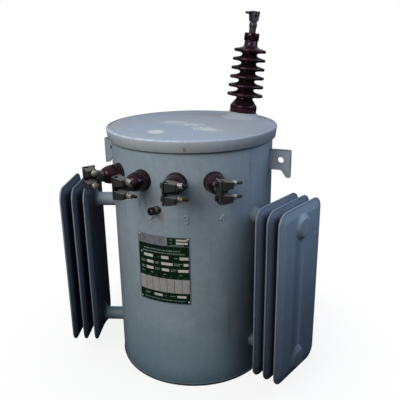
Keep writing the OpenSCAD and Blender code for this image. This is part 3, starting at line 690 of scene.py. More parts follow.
@made_once
def weathered_paint(name):
    """Old paint: chalked patches, fine mottling, dirt that ran down, specks and orange peel."""
    tree, given, result = node_group(
        name,
        [("Paint", "Color", GREY), ("Faded", "Color", GREY), ("Grime", "Color", GREY),
         ("Patches", "Float", 0.6), ("Streaks", "Float", 0.4), ("Specks", "Float", 0.4)],
        [("Color", "Color"), ("Roughness", "Float"), ("Height", "Float")],
    )
    place = add(tree, "TexCoord").outputs["Object"]
    broad = noise(tree, place, 3.4, 4.0, 0.6)
    middle = noise(tree, place, 13.0, 5.0, 0.62)
    fine = noise(tree, place, 46.0, 6.0, 0.68)
    patch = calc(tree, "MULTIPLY", ramp(tree, broad, 0.36, 0.68), given["Patches"])
    patch = calc(tree, "ADD", patch, calc(tree, "MULTIPLY", ramp(tree, middle, 0.5, 0.75), 0.25))
    paint = blend(tree, patch, given["Paint"], given["Faded"])
    paint = toned(tree, paint, ramp(tree, fine, 0.3, 0.7, 0.93, 1.05))
    runs = noise(tree, stretched(tree, place, (36.0, 36.0, 1.5)), 1.0, 5.0, 0.6)
    run = calc(tree, "MULTIPLY", ramp(tree, runs, 0.52, 0.8), ramp(tree, middle, 0.3, 0.62))
    run = calc(tree, "MULTIPLY", run, given["Streaks"])
    paint = blend(tree, run, paint, given["Grime"])
    dots = ramp(tree, noise(tree, place, 150.0, 3.0, 0.7), 0.66, 0.78)
    speck = calc(tree, "MULTIPLY", dots, given["Specks"])
    paint = blend(tree, speck, paint, given["Grime"])
    tree.links.new(paint, result["Color"])
    gloss = calc(tree, "ADD", ramp(tree, fine, 0.25, 0.75, 0.4, 0.62), calc(tree, "MULTIPLY", run, 0.2))
    tree.links.new(gloss, result["Roughness"])
    peel = noise(tree, place, 260.0, 2.0, 0.5)
    rise = calc(tree, "ADD", calc(tree, "MULTIPLY", peel, 0.22), calc(tree, "MULTIPLY", middle, 0.8))
    tree.links.new(calc(tree, "SUBTRACT", rise, calc(tree, "MULTIPLY", speck, 0.3)), result["Height"])
    return tree


@made_once
def stain(name):
    """A ragged spot round a point, as a mask, for stains and for painted shade."""
    tree, given, result = node_group(
        name,
        [("Centre", "Vector", (0, 0, 0)), ("Spread", "Vector", (10, 10, 10)), ("Ragged", "Float", 0.5),
         ("Grain", "Float", 60.0), ("Core", "Float", 0.55)],
        [("Mask", "Float")],
    )
    place = add(tree, "TexCoord").outputs["Object"]
    away = add(tree, "VectorMath", {0: place, 1: given["Centre"]}, operation="SUBTRACT").outputs[0]
    scaled = add(tree, "VectorMath", {0: away, 1: given["Spread"]}, operation="MULTIPLY").outputs[0]
    length = add(tree, "VectorMath", {0: scaled}, operation="LENGTH").outputs[1]
    ripple = calc(tree, "SUBTRACT", noise(tree, place, given["Grain"], 4.0, 0.7), 0.5)
    rag = calc(tree, "MULTIPLY", ripple, given["Ragged"])
    tree.links.new(ramp(tree, calc(tree, "ADD", length, rag), 1.0, given["Core"]), result["Mask"])
    return tree


@made_once
def worn_metal(name):
    """Cast or plated metal: dull and rubbed patches, fine grit, and dust on what faces up."""
    tree, given, result = node_group(
        name,
        [("Metal", "Color", GREY), ("Rubbed", "Color", GREY), ("Dust", "Color", GREY),
         ("Amount", "Float", 0.5), ("Grain", "Float", 90.0), ("Dusty", "Float", 0.0)],
        [("Color", "Color"), ("Roughness", "Float"), ("Height", "Float")],
    )
    place = add(tree, "TexCoord").outputs["Object"]
    patch = noise(tree, place, given["Grain"], 4.0, 0.65)
    grit = noise(tree, place, 620.0, 3.0, 0.6)
    rubbed = calc(tree, "MULTIPLY", ramp(tree, patch, 0.42, 0.7), given["Amount"])
    metal = blend(tree, rubbed, given["Metal"], given["Rubbed"])
    metal = toned(tree, metal, ramp(tree, grit, 0.3, 0.7, 0.82, 1.1))
    dust = calc(tree, "MULTIPLY", ramp(tree, facing_up(tree), 0.3, 0.9), given["Dusty"])
    tree.links.new(blend(tree, dust, metal, given["Dust"]), result["Color"])
    tree.links.new(calc(tree, "ADD", ramp(tree, patch, 0.3, 0.7, 0.58, 0.34), dust), result["Roughness"])
    tree.links.new(calc(tree, "ADD", patch, calc(tree, "MULTIPLY", grit, 0.5)), result["Height"])
    return tree


@made_once
def glazed(name):
    """Brown glaze that pools and thins, with dust on what faces up."""
    tree, given, result = node_group(
        name,
        [("Glaze", "Color", GREY), ("Thin", "Color", GREY), ("Dust", "Color", GREY),
         ("Dusty", "Float", 0.25)],
        [("Color", "Color"), ("Roughness", "Float"), ("Height", "Float")],
    )
    place = add(tree, "TexCoord").outputs["Object"]
    pool = noise(tree, place, 34.0, 4.0, 0.6)
    grain = noise(tree, place, 210.0, 4.0, 0.7)
    dust = calc(tree, "MULTIPLY", ramp(tree, facing_up(tree), 0.35, 0.95), ramp(tree, grain, 0.35, 0.7))
    dust = calc(tree, "MULTIPLY", dust, given["Dusty"])
    body = blend(tree, ramp(tree, pool, 0.42, 0.72), given["Glaze"], given["Thin"])
    tree.links.new(blend(tree, dust, body, given["Dust"]), result["Color"])
    tree.links.new(calc(tree, "ADD", ramp(tree, pool, 0.3, 0.7, 0.1, 0.2), dust), result["Roughness"])
    tree.links.new(pool, result["Height"])
    return tree


def material(name):
    """A new material: its tree, Principled shader and a bump node that feeds its normal."""
    made = bpy.data.materials.new(name)
    made.use_nodes = True
    tree = made.node_tree
    shader = tree.nodes["Principled BSDF"]
    bump = add(tree, "Bump", {"Strength": 0.3, "Distance": 0.001})
    tree.links.new(bump.outputs[0], shader.inputs["Normal"])
    return made, tree, shader, bump


def kept(build):
    """The material of that name, built the first time only."""
    def get(name, *values, **settings):
        return bpy.data.materials.get(name) or build(name, *values, **settings)
    return get


def wire(tree, look, shader, bump):
    """Feeds a look's colour, roughness and height to a material."""
    tree.links.new(look["Color"], shader.inputs["Base Color"])
    tree.links.new(look["Roughness"], shader.inputs["Roughness"])
    tree.links.new(look["Height"], bump.inputs["Height"])


def use_group(tree, group, **sockets):
    """Adds a group with its values set and gives its outputs."""
    made = add(tree, "Group", node_tree=group)
    for name, value in sockets.items():
        made.inputs[name].default_value = value
    return made.outputs


def spot(tree, centre, spread, ragged, grain, share, core=0.55):
    """A ragged spot's mask, times a share."""
    reach = tuple(1 / x for x in spread)
    sockets = {"Centre": centre, "Spread": reach, "Ragged": ragged, "Grain": grain, "Core": core}
    return calc(tree, "MULTIPLY", use_group(tree, stain(), **sockets)["Mask"], share)


@kept
def painted(
    name, paint, faded, marks=(), patches=0.6, streaks=0.4, specks=0.4, peel=0.35, shine=0.35, shades=()
):
    """Weathered paint with marks and shades laid over it.

    A mark is (colour, centre, spread, ragged, grain, share, core), as spot takes them, and a shade is
    (mask, colour). Marks and shades lay real stains, dirt and wear, and also painted shade and painted
    highlights.
    """
    colours = bpy.context.scene.transformer_finish
    made, tree, shader, bump = material(name)
    look = use_group(
        tree, weathered_paint(), Paint=rgba(paint), Faded=rgba(faded), Grime=rgba(colours.grime),
        Patches=patches, Streaks=streaks, Specks=specks,
    )
    shade = look["Color"]
    for tint, *mark in marks:
        shade = blend(tree, spot(tree, *mark), shade, rgba(tint))
    for mask, tint in shades:
        shade = blend(tree, mask(tree), shade, rgba(tint))
    tree.links.new(shade, shader.inputs["Base Color"])
    tree.links.new(look["Roughness"], shader.inputs["Roughness"])
    tree.links.new(look["Height"], bump.inputs["Height"])
    bump.inputs["Strength"].default_value = peel
    shader.inputs["Specular IOR Level"].default_value = shine
    return made


@kept
def metal(name, plain, rubbed, metallic, share=0.5, grain=90.0, grit=0.3, dusty=0.0):
    """Bronze, plating, steel or bare plate, with rubbed patches."""
    made, tree, shader, bump = material(name)
    dust = rgba(bpy.context.scene.transformer_finish.metal_dust)
    look = use_group(
        tree, worn_metal(), Metal=rgba(plain), Rubbed=rgba(rubbed), Dust=dust,
        Amount=share, Grain=grain, Dusty=dusty,
    )
    wire(tree, look, shader, bump)
    bump.inputs["Strength"].default_value = grit
    bump.inputs["Distance"].default_value = 0.0005
    shader.inputs["Metallic"].default_value = metallic
    return made


@kept
def matt(name, plain, dusty, grain=120.0, share=0.5, rough=0.8):
    """Rubber or print: a dull surface with a second tone."""
    made, tree, shader, bump = material(name)
    look = use_group(tree, worn_metal(), Metal=rgba(plain), Rubbed=rgba(dusty), Amount=share, Grain=grain)
    tree.links.new(look["Color"], shader.inputs["Base Color"])
    tree.links.new(look["Height"], bump.inputs["Height"])
    bump.inputs["Strength"].default_value = 0.15
    bump.inputs["Distance"].default_value = 0.0003
    shader.inputs["Roughness"].default_value = rough
    shader.inputs["Specular IOR Level"].default_value = 0.3
    return made


@kept
def porcelain(name):
    """Glazed porcelain with a little dust and a coloured shine."""
    colours = bpy.context.scene.transformer_finish
    made, tree, shader, bump = material(name)
    look = use_group(
        tree, glazed(), Glaze=rgba(colours.glaze), Thin=rgba(colours.glaze_thin),
        Dust=rgba(colours.dust), Dusty=0.04,
    )
    wire(tree, look, shader, bump)
    bump.inputs["Strength"].default_value = 0.12
    shader.inputs["Specular IOR Level"].default_value = 0.36
    shader.inputs["Specular Tint"].default_value = (0.86, 0.6, 0.72, 1)
    return made


def on_panel(tree):
    """How far out from the tank's axis, in from a panel's edges, off its crease and up each place is."""
    s = bpy.context.scene.transformer_radiator
    x, y, z = add(tree, "SeparateXYZ", {0: add(tree, "TexCoord").outputs["Object"]}).outputs
    side = calc(tree, "ABSOLUTE", x)
    c, n = math.cos(s.turn), math.sin(s.turn)
    out = calc(tree, "SUBTRACT", calc(tree, "MULTIPLY", side, n), calc(tree, "MULTIPLY", y, c))
    across = calc(tree, "ADD", calc(tree, "MULTIPLY", side, c), calc(tree, "MULTIPLY", y, n))
    off = calc(tree, "ADD", across, s.shift)
    rise = calc(tree, "ABSOLUTE", calc(tree, "SUBTRACT", z, s.foot + s.high / 2))
    edge = calc(
        tree, "MINIMUM", calc(tree, "SUBTRACT", s.wide / 2, calc(tree, "ABSOLUTE", off)),
        calc(tree, "SUBTRACT", s.high / 2, rise),
    )
    return out, edge, off, z


def between_panels(tree):
    """A mask of painted shade on the faces that look at another panel or at the tank, away from the panels'
    edges.
    """
    s = bpy.context.scene.transformer_radiator
    first = bpy.context.scene.transformer_tank.radius + s.gap
    last = first + (PANELS - 1) * s.pitch
    out, edge, _, _ = on_panel(tree)
    near = ramp(tree, out, first - 0.022, first - 0.012)
    inner = calc(tree, "MULTIPLY", ramp(tree, out, last + 0.005, last - 0.003), near)
    return calc(tree, "MULTIPLY", calc(tree, "MULTIPLY", inner, ramp(tree, edge, 0.012, 0.036)), s.soot)


def bleached(tree):
    """A mask of painted light on the outermost panels' outer faces, most of all at the top."""
    s = bpy.context.scene.transformer_radiator
    last = bpy.context.scene.transformer_tank.radius + s.gap + (PANELS - 1) * s.pitch
    out, _, _, z = on_panel(tree)
    outer = ramp(tree, out, last - 0.001, last + 0.004)
    return calc(tree, "MULTIPLY", outer, ramp(tree, z, 0.26, 0.68, 0.0, 0.55))


def band(tree, low, high, soft, share):
    """A mask of a strip along the crease, clear of the panel's ends."""
    _, edge, off, _ = on_panel(tree)
    strip = calc(
        tree, "MULTIPLY", ramp(tree, off, low - soft, low + soft), ramp(tree, off, high + soft, high - soft)
    )
    return calc(tree, "MULTIPLY", strip, ramp(tree, edge, 0.04, 0.09, 0.0, share))


def crease_dirt(tree):
    """Painted shade beside the crease."""
    return band(tree, -0.044, -0.016, 0.01, 0.24)


def crease_wear(tree):
    """A painted highlight on one side of the crease."""
    return band(tree, 0.003, 0.014, 0.005, 0.3)


def lid_edge(tree):
    """The lid's top edge as a mask, and how far back and how far right each place is."""
    s = bpy.context.scene.transformer_lid
    turn = bpy.context.scene.transformer_stage.azimuth
    place = add(tree, "TexCoord").outputs["Object"]
    x, y, z = add(tree, "SeparateXYZ", {0: place}).outputs
    level = add(tree, "VectorMath", {0: place, 1: (1, 1, 0)}, operation="MULTIPLY").outputs[0]
    out = add(tree, "VectorMath", {0: level}, operation="LENGTH").outputs[1]
    ring = ramp(tree, out, s.radius - 0.013, s.radius - 0.008)
    edge = calc(tree, "MULTIPLY", ring, ramp(tree, z, s.level - 0.006, s.level - 0.002))
    c, n = math.cos(turn), math.sin(turn)
    back = calc(tree, "SUBTRACT", calc(tree, "MULTIPLY", y, c), calc(tree, "MULTIPLY", x, n))
    right = calc(tree, "ADD", calc(tree, "MULTIPLY", x, c), calc(tree, "MULTIPLY", y, n))
    return edge, back, right


def dark_edge(tree):
    """Dirt and painted shade along the lid's back edge, the side away from the camera."""
    edge, back, _ = lid_edge(tree)
    return calc(tree, "MULTIPLY", edge, ramp(tree, back, -0.05, 0.05, 0.0, 0.7))


def rubbed_edge(tree):
    """A painted highlight along the lid's front edge, most of all at its left."""
    edge, back, right = lid_edge(tree)
    worn = ramp(tree, noise(tree, add(tree, "TexCoord").outputs["Object"], 45.0, 4.0), 0.3, 0.6, 0.3, 1.0)
    front = calc(tree, "MULTIPLY", calc(tree, "MULTIPLY", edge, worn), ramp(tree, back, 0.0, -0.1))
    return calc(tree, "MULTIPLY", front, ramp(tree, right, -0.12, 0.1, 0.6, 0.1))


def tank_paint():
    """The tank's paint: rust and grime, a darker foot, and painted shade at the sides, rim, foot and lug
    holes.
    """
    colours = bpy.context.scene.transformer_finish
    marks = [
        (colours.rust, (0.0058, -0.2769, 0.616), (0.018, 0.05, 0.032), 0.6, 70.0, 0.5, 0.0),
        (colours.grime, (-0.071, -0.2677, 0.655), (0.008, 0.05, 0.028), 0.9, 70.0, 0.5, 0.2),
        (colours.grime, (-0.0475, -0.2729, 0.65), (0.007, 0.05, 0.022), 0.9, 70.0, 0.4, 0.2),
        (colours.grime, (0.0622, -0.2699, 0.668), (0.02, 0.05, 0.03), 1.0, 50.0, 0.35, 0.2),
        # A darker, bluer tone that fades up from the tank's foot.
        (colours.damp, (0.0, 0.0, 0.0), (ALL_ROUND, ALL_ROUND, 0.32), 0.4, 6.0, 0.5, 0.0),
        # Painted shade on the right and left flanks beside the radiators, round the right header pipes and up
        # the right side.
        (colours.soot, (0.262, -0.09, 0.2), (0.17, 0.22, 0.5), 0.3, 7.0, 0.65, 0.0),
        (colours.soot, (-0.262, -0.09, 0.3), (0.1, 0.2, 0.6), 0.3, 7.0, 0.15, 0.0),
        (colours.soot, (0.3, -0.098, 0.595), (0.06, 0.06, 0.06), 0.3, 30.0, 0.7, 0.2),
        (colours.soot, (0.3, -0.098, 0.128), (0.06, 0.06, 0.06), 0.3, 30.0, 0.75, 0.2),
        (colours.soot, (0.263, -0.086, 0.38), (0.03, 0.07, 0.3), 0.3, 9.0, 0.6, 0.1),
        (colours.soot, (0.27, 0.03, 0.66), (0.1, 0.14, 0.24), 0.3, 7.0, 0.4, 0.0),
        # Grime and painted shadow along the foot.
        (colours.grime, (0.0, 0.0, 0.0), (ALL_ROUND, ALL_ROUND, 0.075), 0.7, 60.0, 0.5, 0.1),
        (colours.rust, (0.06, -0.27, 0.006), (0.04, 0.05, 0.012), 1.0, 90.0, 0.3),
        # Painted shadow along the foot's lower edge, and in a band under the lid's rim.
        (colours.soot, (0.0, 0.0, 0.0), (ALL_ROUND, ALL_ROUND, 0.016), 0.5, 60.0, 0.75, 0.2),
        (colours.soot, (0.0, 0.0, 0.827), (ALL_ROUND, ALL_ROUND, 0.009), 0.3, 60.0, 0.75, 0.3),
    ]
    s = bpy.context.scene.transformer_tank
    top, tip = s.height - s.lug_drop, s.radius + s.lug_reach
    for side in (-1, 1):
        hole = (side * (s.radius + s.hole_out), 0.0, top - s.hole_drop)
        # Painted shade inside each lug's hole, and dark lines along the lug's top and outer edges.
        marks += [
            (colours.soot, hole, (0.0113, 0.03, 0.0113), 0.1, 60.0, 0.85, 0.93),
            (colours.soot, (side * (s.radius + 0.04), 0.0, top), (0.06, 0.03, 0.0045), 0.4, 60.0, 0.6, 0.3),
            (colours.soot, (side * tip, 0.0, top - 0.045), (0.0035, 0.03, 0.06), 0.4, 60.0, 0.5, 0.3),
        ]
    return painted("tank_paint_weathered", colours.tank, colours.tank_faded, marks)


def lid_paint():
    """The lid's paint: a faded patch, a pale spot, scuffs, a dull rim, dirt, painted shade and a painted edge
    highlight.
    """
    colours = bpy.context.scene.transformer_finish
    boss = tuple(on_boss(bpy.context.scene).translation)
    marks = [
        (colours.lid_faded, (0.13, 0.1, 0.87), (0.34, 0.34, 0.3), 0.4, 6.0, 0.65, 0.1),
        (colours.chalk, (-0.039, -0.199, 0.872), (0.036, 0.027, 0.05), 0.5, 60.0, 0.8),
        (colours.chalk, (-0.037, -0.066, 0.878), (0.045, 0.022, 0.05), 4.2, 110.0, 0.5, 0.7),
        (colours.chalk, (0.033, -0.086, 0.878), (0.05, 0.02, 0.05), 4.2, 110.0, 0.5, 0.7),
        (colours.chalk, (0.1, -0.125, 0.876), (0.045, 0.024, 0.05), 4.2, 110.0, 0.65, 0.7),
        # Painted shade on the rim's right side.
        (colours.soot, (0.27, -0.06, 0.845), (0.14, 0.2, 0.035), 0.3, 9.0, 0.3, 0.0),
        (colours.lid_dust, (0.0, 0.0, 0.838), (ALL_ROUND, ALL_ROUND, 0.024), 0.3, 20.0, 0.35, 0.5),
        # Painted shade round the tall bushing's swelling.
        (colours.soot, boss, (0.085, 0.085, 0.03), 0.3, 20.0, 0.2, 0.4),
        (colours.rust, (0.0888, -0.2761, 0.838), (0.006, 0.02, 0.01), 0.8, 120.0, 0.6),
    ]
    return painted(
        "lid_paint_weathered", colours.lid, colours.lid_faded, marks, patches=0.8, streaks=0.1, shine=0.12,
        # Dirt and painted shade along the back edge, and a painted highlight along the front edge.
        shades=[(dark_edge, colours.soot), (rubbed_edge, colours.lid_rubbed)],
    )


def radiator_paint():
    """The radiators' paint: painted shade low down and between the panels, painted light and shade on the
    outer faces.
    """
    colours = bpy.context.scene.transformer_finish
    marks = [
        (colours.soot, (0.4245, -0.153, 0.552), (0.01, 0.012, 0.014), 0.9, 90.0, 0.6),
        # Painted shade, darker towards the bottom of the radiators.
        (colours.soot, (0.0, 0.0, 0.0), (ALL_ROUND, ALL_ROUND, 0.45), 0.3, 5.0, 0.5, 0.0),
        (colours.chalk, (0.4506, -0.0728, 0.5508), (0.004, 0.006, 0.006), 0.4, 90.0, 0.5),
        (colours.chalk, (0.4455, -0.0883, 0.6367), (0.004, 0.006, 0.006), 0.4, 90.0, 0.5),
    ]
    return painted(
        "radiator_paint_weathered", colours.radiator, colours.radiator_faded, marks, streaks=0.3,
        # Painted light on the outer faces towards the top, painted shade and highlight beside the crease,
        # painted shade between the panels.
        shades=[
            (bleached, colours.radiator_pale), (crease_dirt, colours.soot),
            (crease_wear, colours.radiator_pale), (between_panels, colours.soot),
        ],
    )


def bronze():
    c = bpy.context.scene.transformer_finish
    return metal("terminal_bronze_worn", c.bronze, c.bronze_worn, 0.3, 0.5, 70.0, 0.5, 0.55)


def zinc():
    c = bpy.context.scene.transformer_finish
    return metal("nut_zinc", c.zinc, c.zinc_dull, 0.9, 0.5, 120.0, 0.2)


def brass():
    c = bpy.context.scene.transformer_finish
    return metal("nut_brass", c.brass, c.brass_dull, 0.85, 0.5, 120.0, 0.2)


def black_steel():
    c = bpy.context.scene.transformer_finish
    return metal("bolt_black_steel", c.steel, c.steel_worn, 0.7, 0.4, 110.0, 0.3)


def rubber():
    c = bpy.context.scene.transformer_finish
    return matt("gasket_rubber", c.rubber, c.rubber_dusty, 80.0, 0.5, 0.75)


# Pieces

# Strokes of the terminal numerals, as shares of their height.
NUMERALS = {
    1: [[(0.08, 0.78), (0.3, 1.0), (0.3, 0.0)]],
    2: [[(0.0, 0.78), (0.1, 0.94), (0.3, 1.0), (0.5, 0.93), (0.57, 0.74), (0.48, 0.5), (0.24, 0.25),
         (0.0, 0.0), (0.6, 0.0)]],
    3: [[(0.02, 0.9), (0.22, 1.0), (0.46, 0.95), (0.55, 0.77), (0.45, 0.58), (0.24, 0.53)],
        [(0.24, 0.53), (0.5, 0.45), (0.6, 0.25), (0.48, 0.06), (0.24, 0.0), (0.0, 0.1)]],
    4: [[(0.45, 0.0), (0.45, 1.0), (0.0, 0.35), (0.62, 0.35)]],
}


def low_turns(scene):
    """Directions of the four small bushings from the front."""
    return [(i - 1.5) * scene.transformer_low.pitch for i in range(4)]


class TRANSFORMER_OT_tank(bpy.types.Operator):
    """Builds the round welded tank, its weld beads and the terminal numerals"""

    bl_idname = "transformer.tank"
    bl_label = "Tank"

    def execute(self, context):
        s = context.scene.transformer_tank
        paint = tank_paint()
        foot = arc(s.radius - s.foot_round, s.foot_round, s.foot_round, -90, 0, 4)
        inside = s.radius - s.wall
        shell = turned(
            [(0, 0), *foot, (s.radius, s.height), (inside, s.height), (inside, s.bottom), (0, s.bottom)], 192
        )
        finished("tank_shell", shell, paint, ("tank_wall", "tank_bottom"))
        ring = [
            (s.radius * math.cos(t), s.radius * math.sin(t), s.bottom + s.bead)
            for t in (2 * math.pi * i / 320 for i in range(320))
        ]
        welds = bead(ring, s.bead * 0.7, closed=True)
        x, y = s.radius * math.sin(s.seam_turn), -s.radius * math.cos(s.seam_turn)
        put(welds, bead(along((x, y, 0.016), (x, y, s.height), 0.004), s.bead * 0.6))
        finished("tank_welds", welds, paint)
        marks = bmesh.new()
        for number, turn in enumerate(low_turns(context.scene), 1):
            for stroke in NUMERALS[number]:
                put(marks, bead(self.on_tank(s, turn + s.mark_shift, stroke), s.mark_bead, ripple=0.1))
        finished("terminal_numerals", marks, paint)
        return {"FINISHED"}

    def on_tank(self, s, turn, stroke):
        """A numeral's stroke laid on the wall, in short steps."""
        points = []
        for (x0, y0), (x1, y1) in zip(stroke, stroke[1:]):
            for i in range(4):
                x, y = x0 + (x1 - x0) * i / 4, y0 + (y1 - y0) * i / 4
                points.append((x, y))
        points.append(stroke[-1])
        placed = []
        for x, y in points:
            t = turn + (x - 0.3) * s.mark_height / s.radius
            placed.append((s.radius * math.sin(t), -s.radius * math.cos(t), s.mark_level + y * s.mark_height))
        return placed


class TRANSFORMER_OT_lid(bpy.types.Operator):
    """Builds the domed lid, its gasket and the swelling under the tall bushing"""

    bl_idname = "transformer.lid"
    bl_label = "Lid"

    def execute(self, context):
        s = context.scene.transformer_lid
        high = context.scene.transformer_high
        tank = context.scene.transformer_tank
        edge = s.radius - s.shoulder
        steps = [i / 14 for i in range(15)]
        dome = [(edge * t, s.dome * (1 - t * t)) for t in steps]
        bend = s.radius - s.rounding
        groove = [
            (edge + 0.004, -0.6 * s.groove), (edge + 0.008, -s.groove), (edge + 0.012, -0.6 * s.groove),
            (bend - 0.001, 0),
        ]
        outside = [*dome, *groove, *arc(bend, -s.rounding, s.rounding, 90, 0, 6)]
        lip = s.radius - s.lean
        soft = 0.001
        hem = [
            (lip, soft - s.rim), (lip - soft, -s.rim),
            (lip - s.sheet + soft, -s.rim), (lip - s.sheet, soft - s.rim),
        ]
        corner = arc(bend, -s.rounding, s.rounding - s.sheet, 0, 90, 4)
        inside = [*corner, *[(r, z - s.sheet) for r, z in reversed(dome)]]
        cover = turned([*outside, *hem, *inside], 192)
        cover = gathered((cover, Matrix.Translation((0, 0, s.level))))
        finished("lid_cover", cover, lid_paint(), ("lid",))
        middle = tank.radius - tank.wall / 2
        low, top = tank.height, s.level - s.sheet
        ring = turned(
            [(middle - 0.008, low), (middle + 0.007, low), (middle + 0.008, low + 0.004),
             (middle + 0.007, top), (middle - 0.008, top)],
            128, ring=True,
        )
        finished("lid_seal", ring, rubber(), ("lid_gasket",))
        flare = [
            (0, 0), (high.boss - 0.002, 0), (high.boss, -0.0012), (high.boss + 0.0035, -0.006),
            (high.boss + 0.008, -0.0105), (high.boss + 0.0135, -0.0148), (high.boss + 0.02, -0.018),
            (high.boss + 0.028, -0.0215), (high.boss + 0.028, -0.03), (0, -0.03),
        ]
        swelling = turned(flare, 96)
        swelling.transform(on_boss(context.scene))
        finished("bushing_swelling", swelling, lid_paint(), ("hv_boss",))
        return {"FINISHED"}


class TRANSFORMER_OT_high_bushing(bpy.types.Operator):
    """Builds the tall porcelain bushing with its sheds"""

    bl_idname = "transformer.high_bushing"
    bl_label = "High-voltage bushing"

    def execute(self, context):
        s = context.scene.transformer_high
        foot_soft = 0.004
        points = [(0, -0.03), (0.03, -0.03), (0.03, 0), (s.foot - 0.0015, 0), (s.foot, 0.0015)]
        points += arc(s.foot - foot_soft, s.foot_high - foot_soft, foot_soft, 0, 45, 4)
        points += [
            (s.core + 0.0035, s.neck_high - 0.003), (s.core + 0.0016, s.neck_high - 0.0012),
            (s.core + 0.0004, s.neck_high + 0.001), (s.core, s.neck_high + 0.003),
        ]
        for i in range(SHEDS):
            points += self.shed(s, i)
        last = s.shed_high + (SHEDS - 1) * s.shed_pitch
        points += [
            (s.neck + 0.0008, last + 0.0165), (s.neck, last + 0.019), (s.neck, last + 0.0305),
            (s.neck - 0.001, last + 0.0315), (s.neck - 0.001, last + 0.0325),
            (s.head - 0.001, last + 0.0335), (s.head, last + 0.0347),
        ]
        soft = 0.0022
        points += arc(s.head - soft, s.top - soft, soft, 0, 90, 4)
        points += [(s.stud, s.top), (s.stud, s.top - 0.002), (0, s.top - 0.002)]
        bushing = turned(points, 96)
        bushing.transform(on_boss(context.scene))
        finished("tall_bushing", bushing, porcelain("brown_glaze"), ("hv_bushing",), sharp=60)
        return {"FINISHED"}

    def shed(self, s, i):
        """One shed from its underside round the tip to the core above."""
        z = s.shed_high + i * s.shed_pitch
        core = s.core + (s.core_top - s.core) * i / (SHEDS - 1)
        tip = s.shed_tip
        reach = s.shed - i * s.shed_step - tip - core
        low, top = math.tan(s.shed_low), math.tan(s.shed_top)
        fillet = 0.003
        under = [
            (core + reach * t, z - tip - reach * (1 - t) * low - fillet * (1 - t) ** 5)
            for t in (0, 0.1, 0.25, 0.6)
        ]
        over = [
            (core + reach * (1 - t), z + tip + reach * t * top + fillet * t ** 6)
            for t in (0.3, 0.55, 0.75, 0.88, 1.0)
        ]
        return [*under, *arc(core + reach, z, tip, -90, 90, 8), *over]


class TRANSFORMER_OT_high_terminal(bpy.types.Operator):
    """Builds the tall bushing's stud, collar nut, clamp and bolt"""

    bl_idname = "transformer.high_terminal"
    bl_label = "High-voltage terminal"

    def execute(self, context):
        s = context.scene.transformer_high
        place = on_boss(context.scene)
        stud = gathered(
            (threaded(s.stud, s.top - 0.002, s.clamp_level + 0.002), place),
            (hexagon(s.nut, s.top + 0.019, s.top + 0.033, 0.0012), place),
        )
        finished("tall_stud", stud, bronze(), ("hv_terminal_stud",))
        wide, deep = s.clamp_wide / 2, s.clamp_deep / 2
        foot = s.clamp_foot / 2
        block = plate(
            [(-foot, 0, 0.0015), (foot, 0, 0.0015), (wide, s.clamp_taper, 0.004), (wide, s.clamp_high, 0.003),
             (-wide, s.clamp_high, 0.003), (-wide, s.clamp_taper, 0.004)], s.clamp_deep,
        )
        block.transform(Matrix.Translation((0, deep, 0)) @ Matrix.Rotation(math.pi / 2, 4, "X"))
        bore = rod(s.bore, -0.04, 0.04)
        bore.transform(Matrix.Translation((0, 0, s.bore_level)) @ Matrix.Rotation(math.pi / 2, 4, "X"))
        half, long = 0.0015, 0.04
        slit = plate([(-half, -long, 0), (half, -long, 0), (half, long, 0), (-half, long, 0)], 0.05)
        slit.transform(Matrix.Translation((0, 0, s.bore_level)))
        turn = place @ Matrix.Translation((0, 0, s.clamp_level)) @ Matrix.Rotation(math.pi / 2, 4, "Z")
        body = cut(tidy(block), bore, slit)
        body.transform(turn)
        finished("tall_clamp", body, bronze(), ("hv_terminal_clamp",), soft=0.0016)
        across = turn @ Matrix.Translation((0, 0, s.bolt_level)) @ Matrix.Rotation(math.pi / 2, 4, "Y")
        shank = gathered(
            (threaded(s.bolt, -wide - 0.002, wide + s.bolt_nut_high + s.bolt_tip), across),
            (hexagon(s.bolt_nut, -wide - s.bolt_head, -wide), across),
            (hexagon(s.bolt_nut, wide, wide + s.bolt_nut_high), across),
        )
        finished("tall_clamp_bolt", shank, black_steel(), ("hv_clamp_bolt",))
        return {"FINISHED"}


class TRANSFORMER_OT_low_bushings(bpy.types.Operator):
    """Builds the four small porcelain bushings and their gaskets"""

    bl_idname = "transformer.low_bushings"
    bl_label = "Low-voltage bushings"

    def execute(self, context):
        s = context.scene.transformer_low
        wall = context.scene.transformer_tank.radius
        face = wall + s.gasket_thick
        for number, turn in enumerate(low_turns(context.scene), 1):
            place = on_wall(turn, s.level)
            hole, root = 0.021, wall - 0.004
            seal = turned(
                [(hole, root), (s.gasket, root), (s.gasket, face - 0.0018),
                 (s.gasket - 0.0006, face - 0.0006), (s.gasket - 0.0018, face), (hole, face)],
                64, ring=True,
            )
            seal.transform(place)
            finished(f"small_seal_{number}", seal, rubber(), (f"lv_gasket_{number}",))
            bend = s.foot - s.end
            dome = [
                (s.end + bend * math.cos(t), s.foot_long + (s.long - s.foot_long) * math.sin(t))
                for t in (math.pi / 2 * i / 14 for i in range(14))
            ]
            points = [
                (0, -0.003), (s.foot - 0.0015, -0.0002), (s.foot, 0.0018), (s.foot, s.foot_long - 0.0035),
                (s.foot - 0.0007, s.foot_long - 0.0025), (s.foot - 0.0007, s.foot_long - 0.001),
                *dome, (s.end, s.long - 0.0012), (s.end - 0.0012, s.long), (0, s.long),
            ]
            body = turned(points, 72)
            body.transform(place @ Matrix.Translation((0, 0, face)))
            finished(
                f"small_bushing_{number}", body, porcelain("brown_glaze"), (f"lv_bushing_{number}",),
                sharp=60,
            )
        return {"FINISHED"}


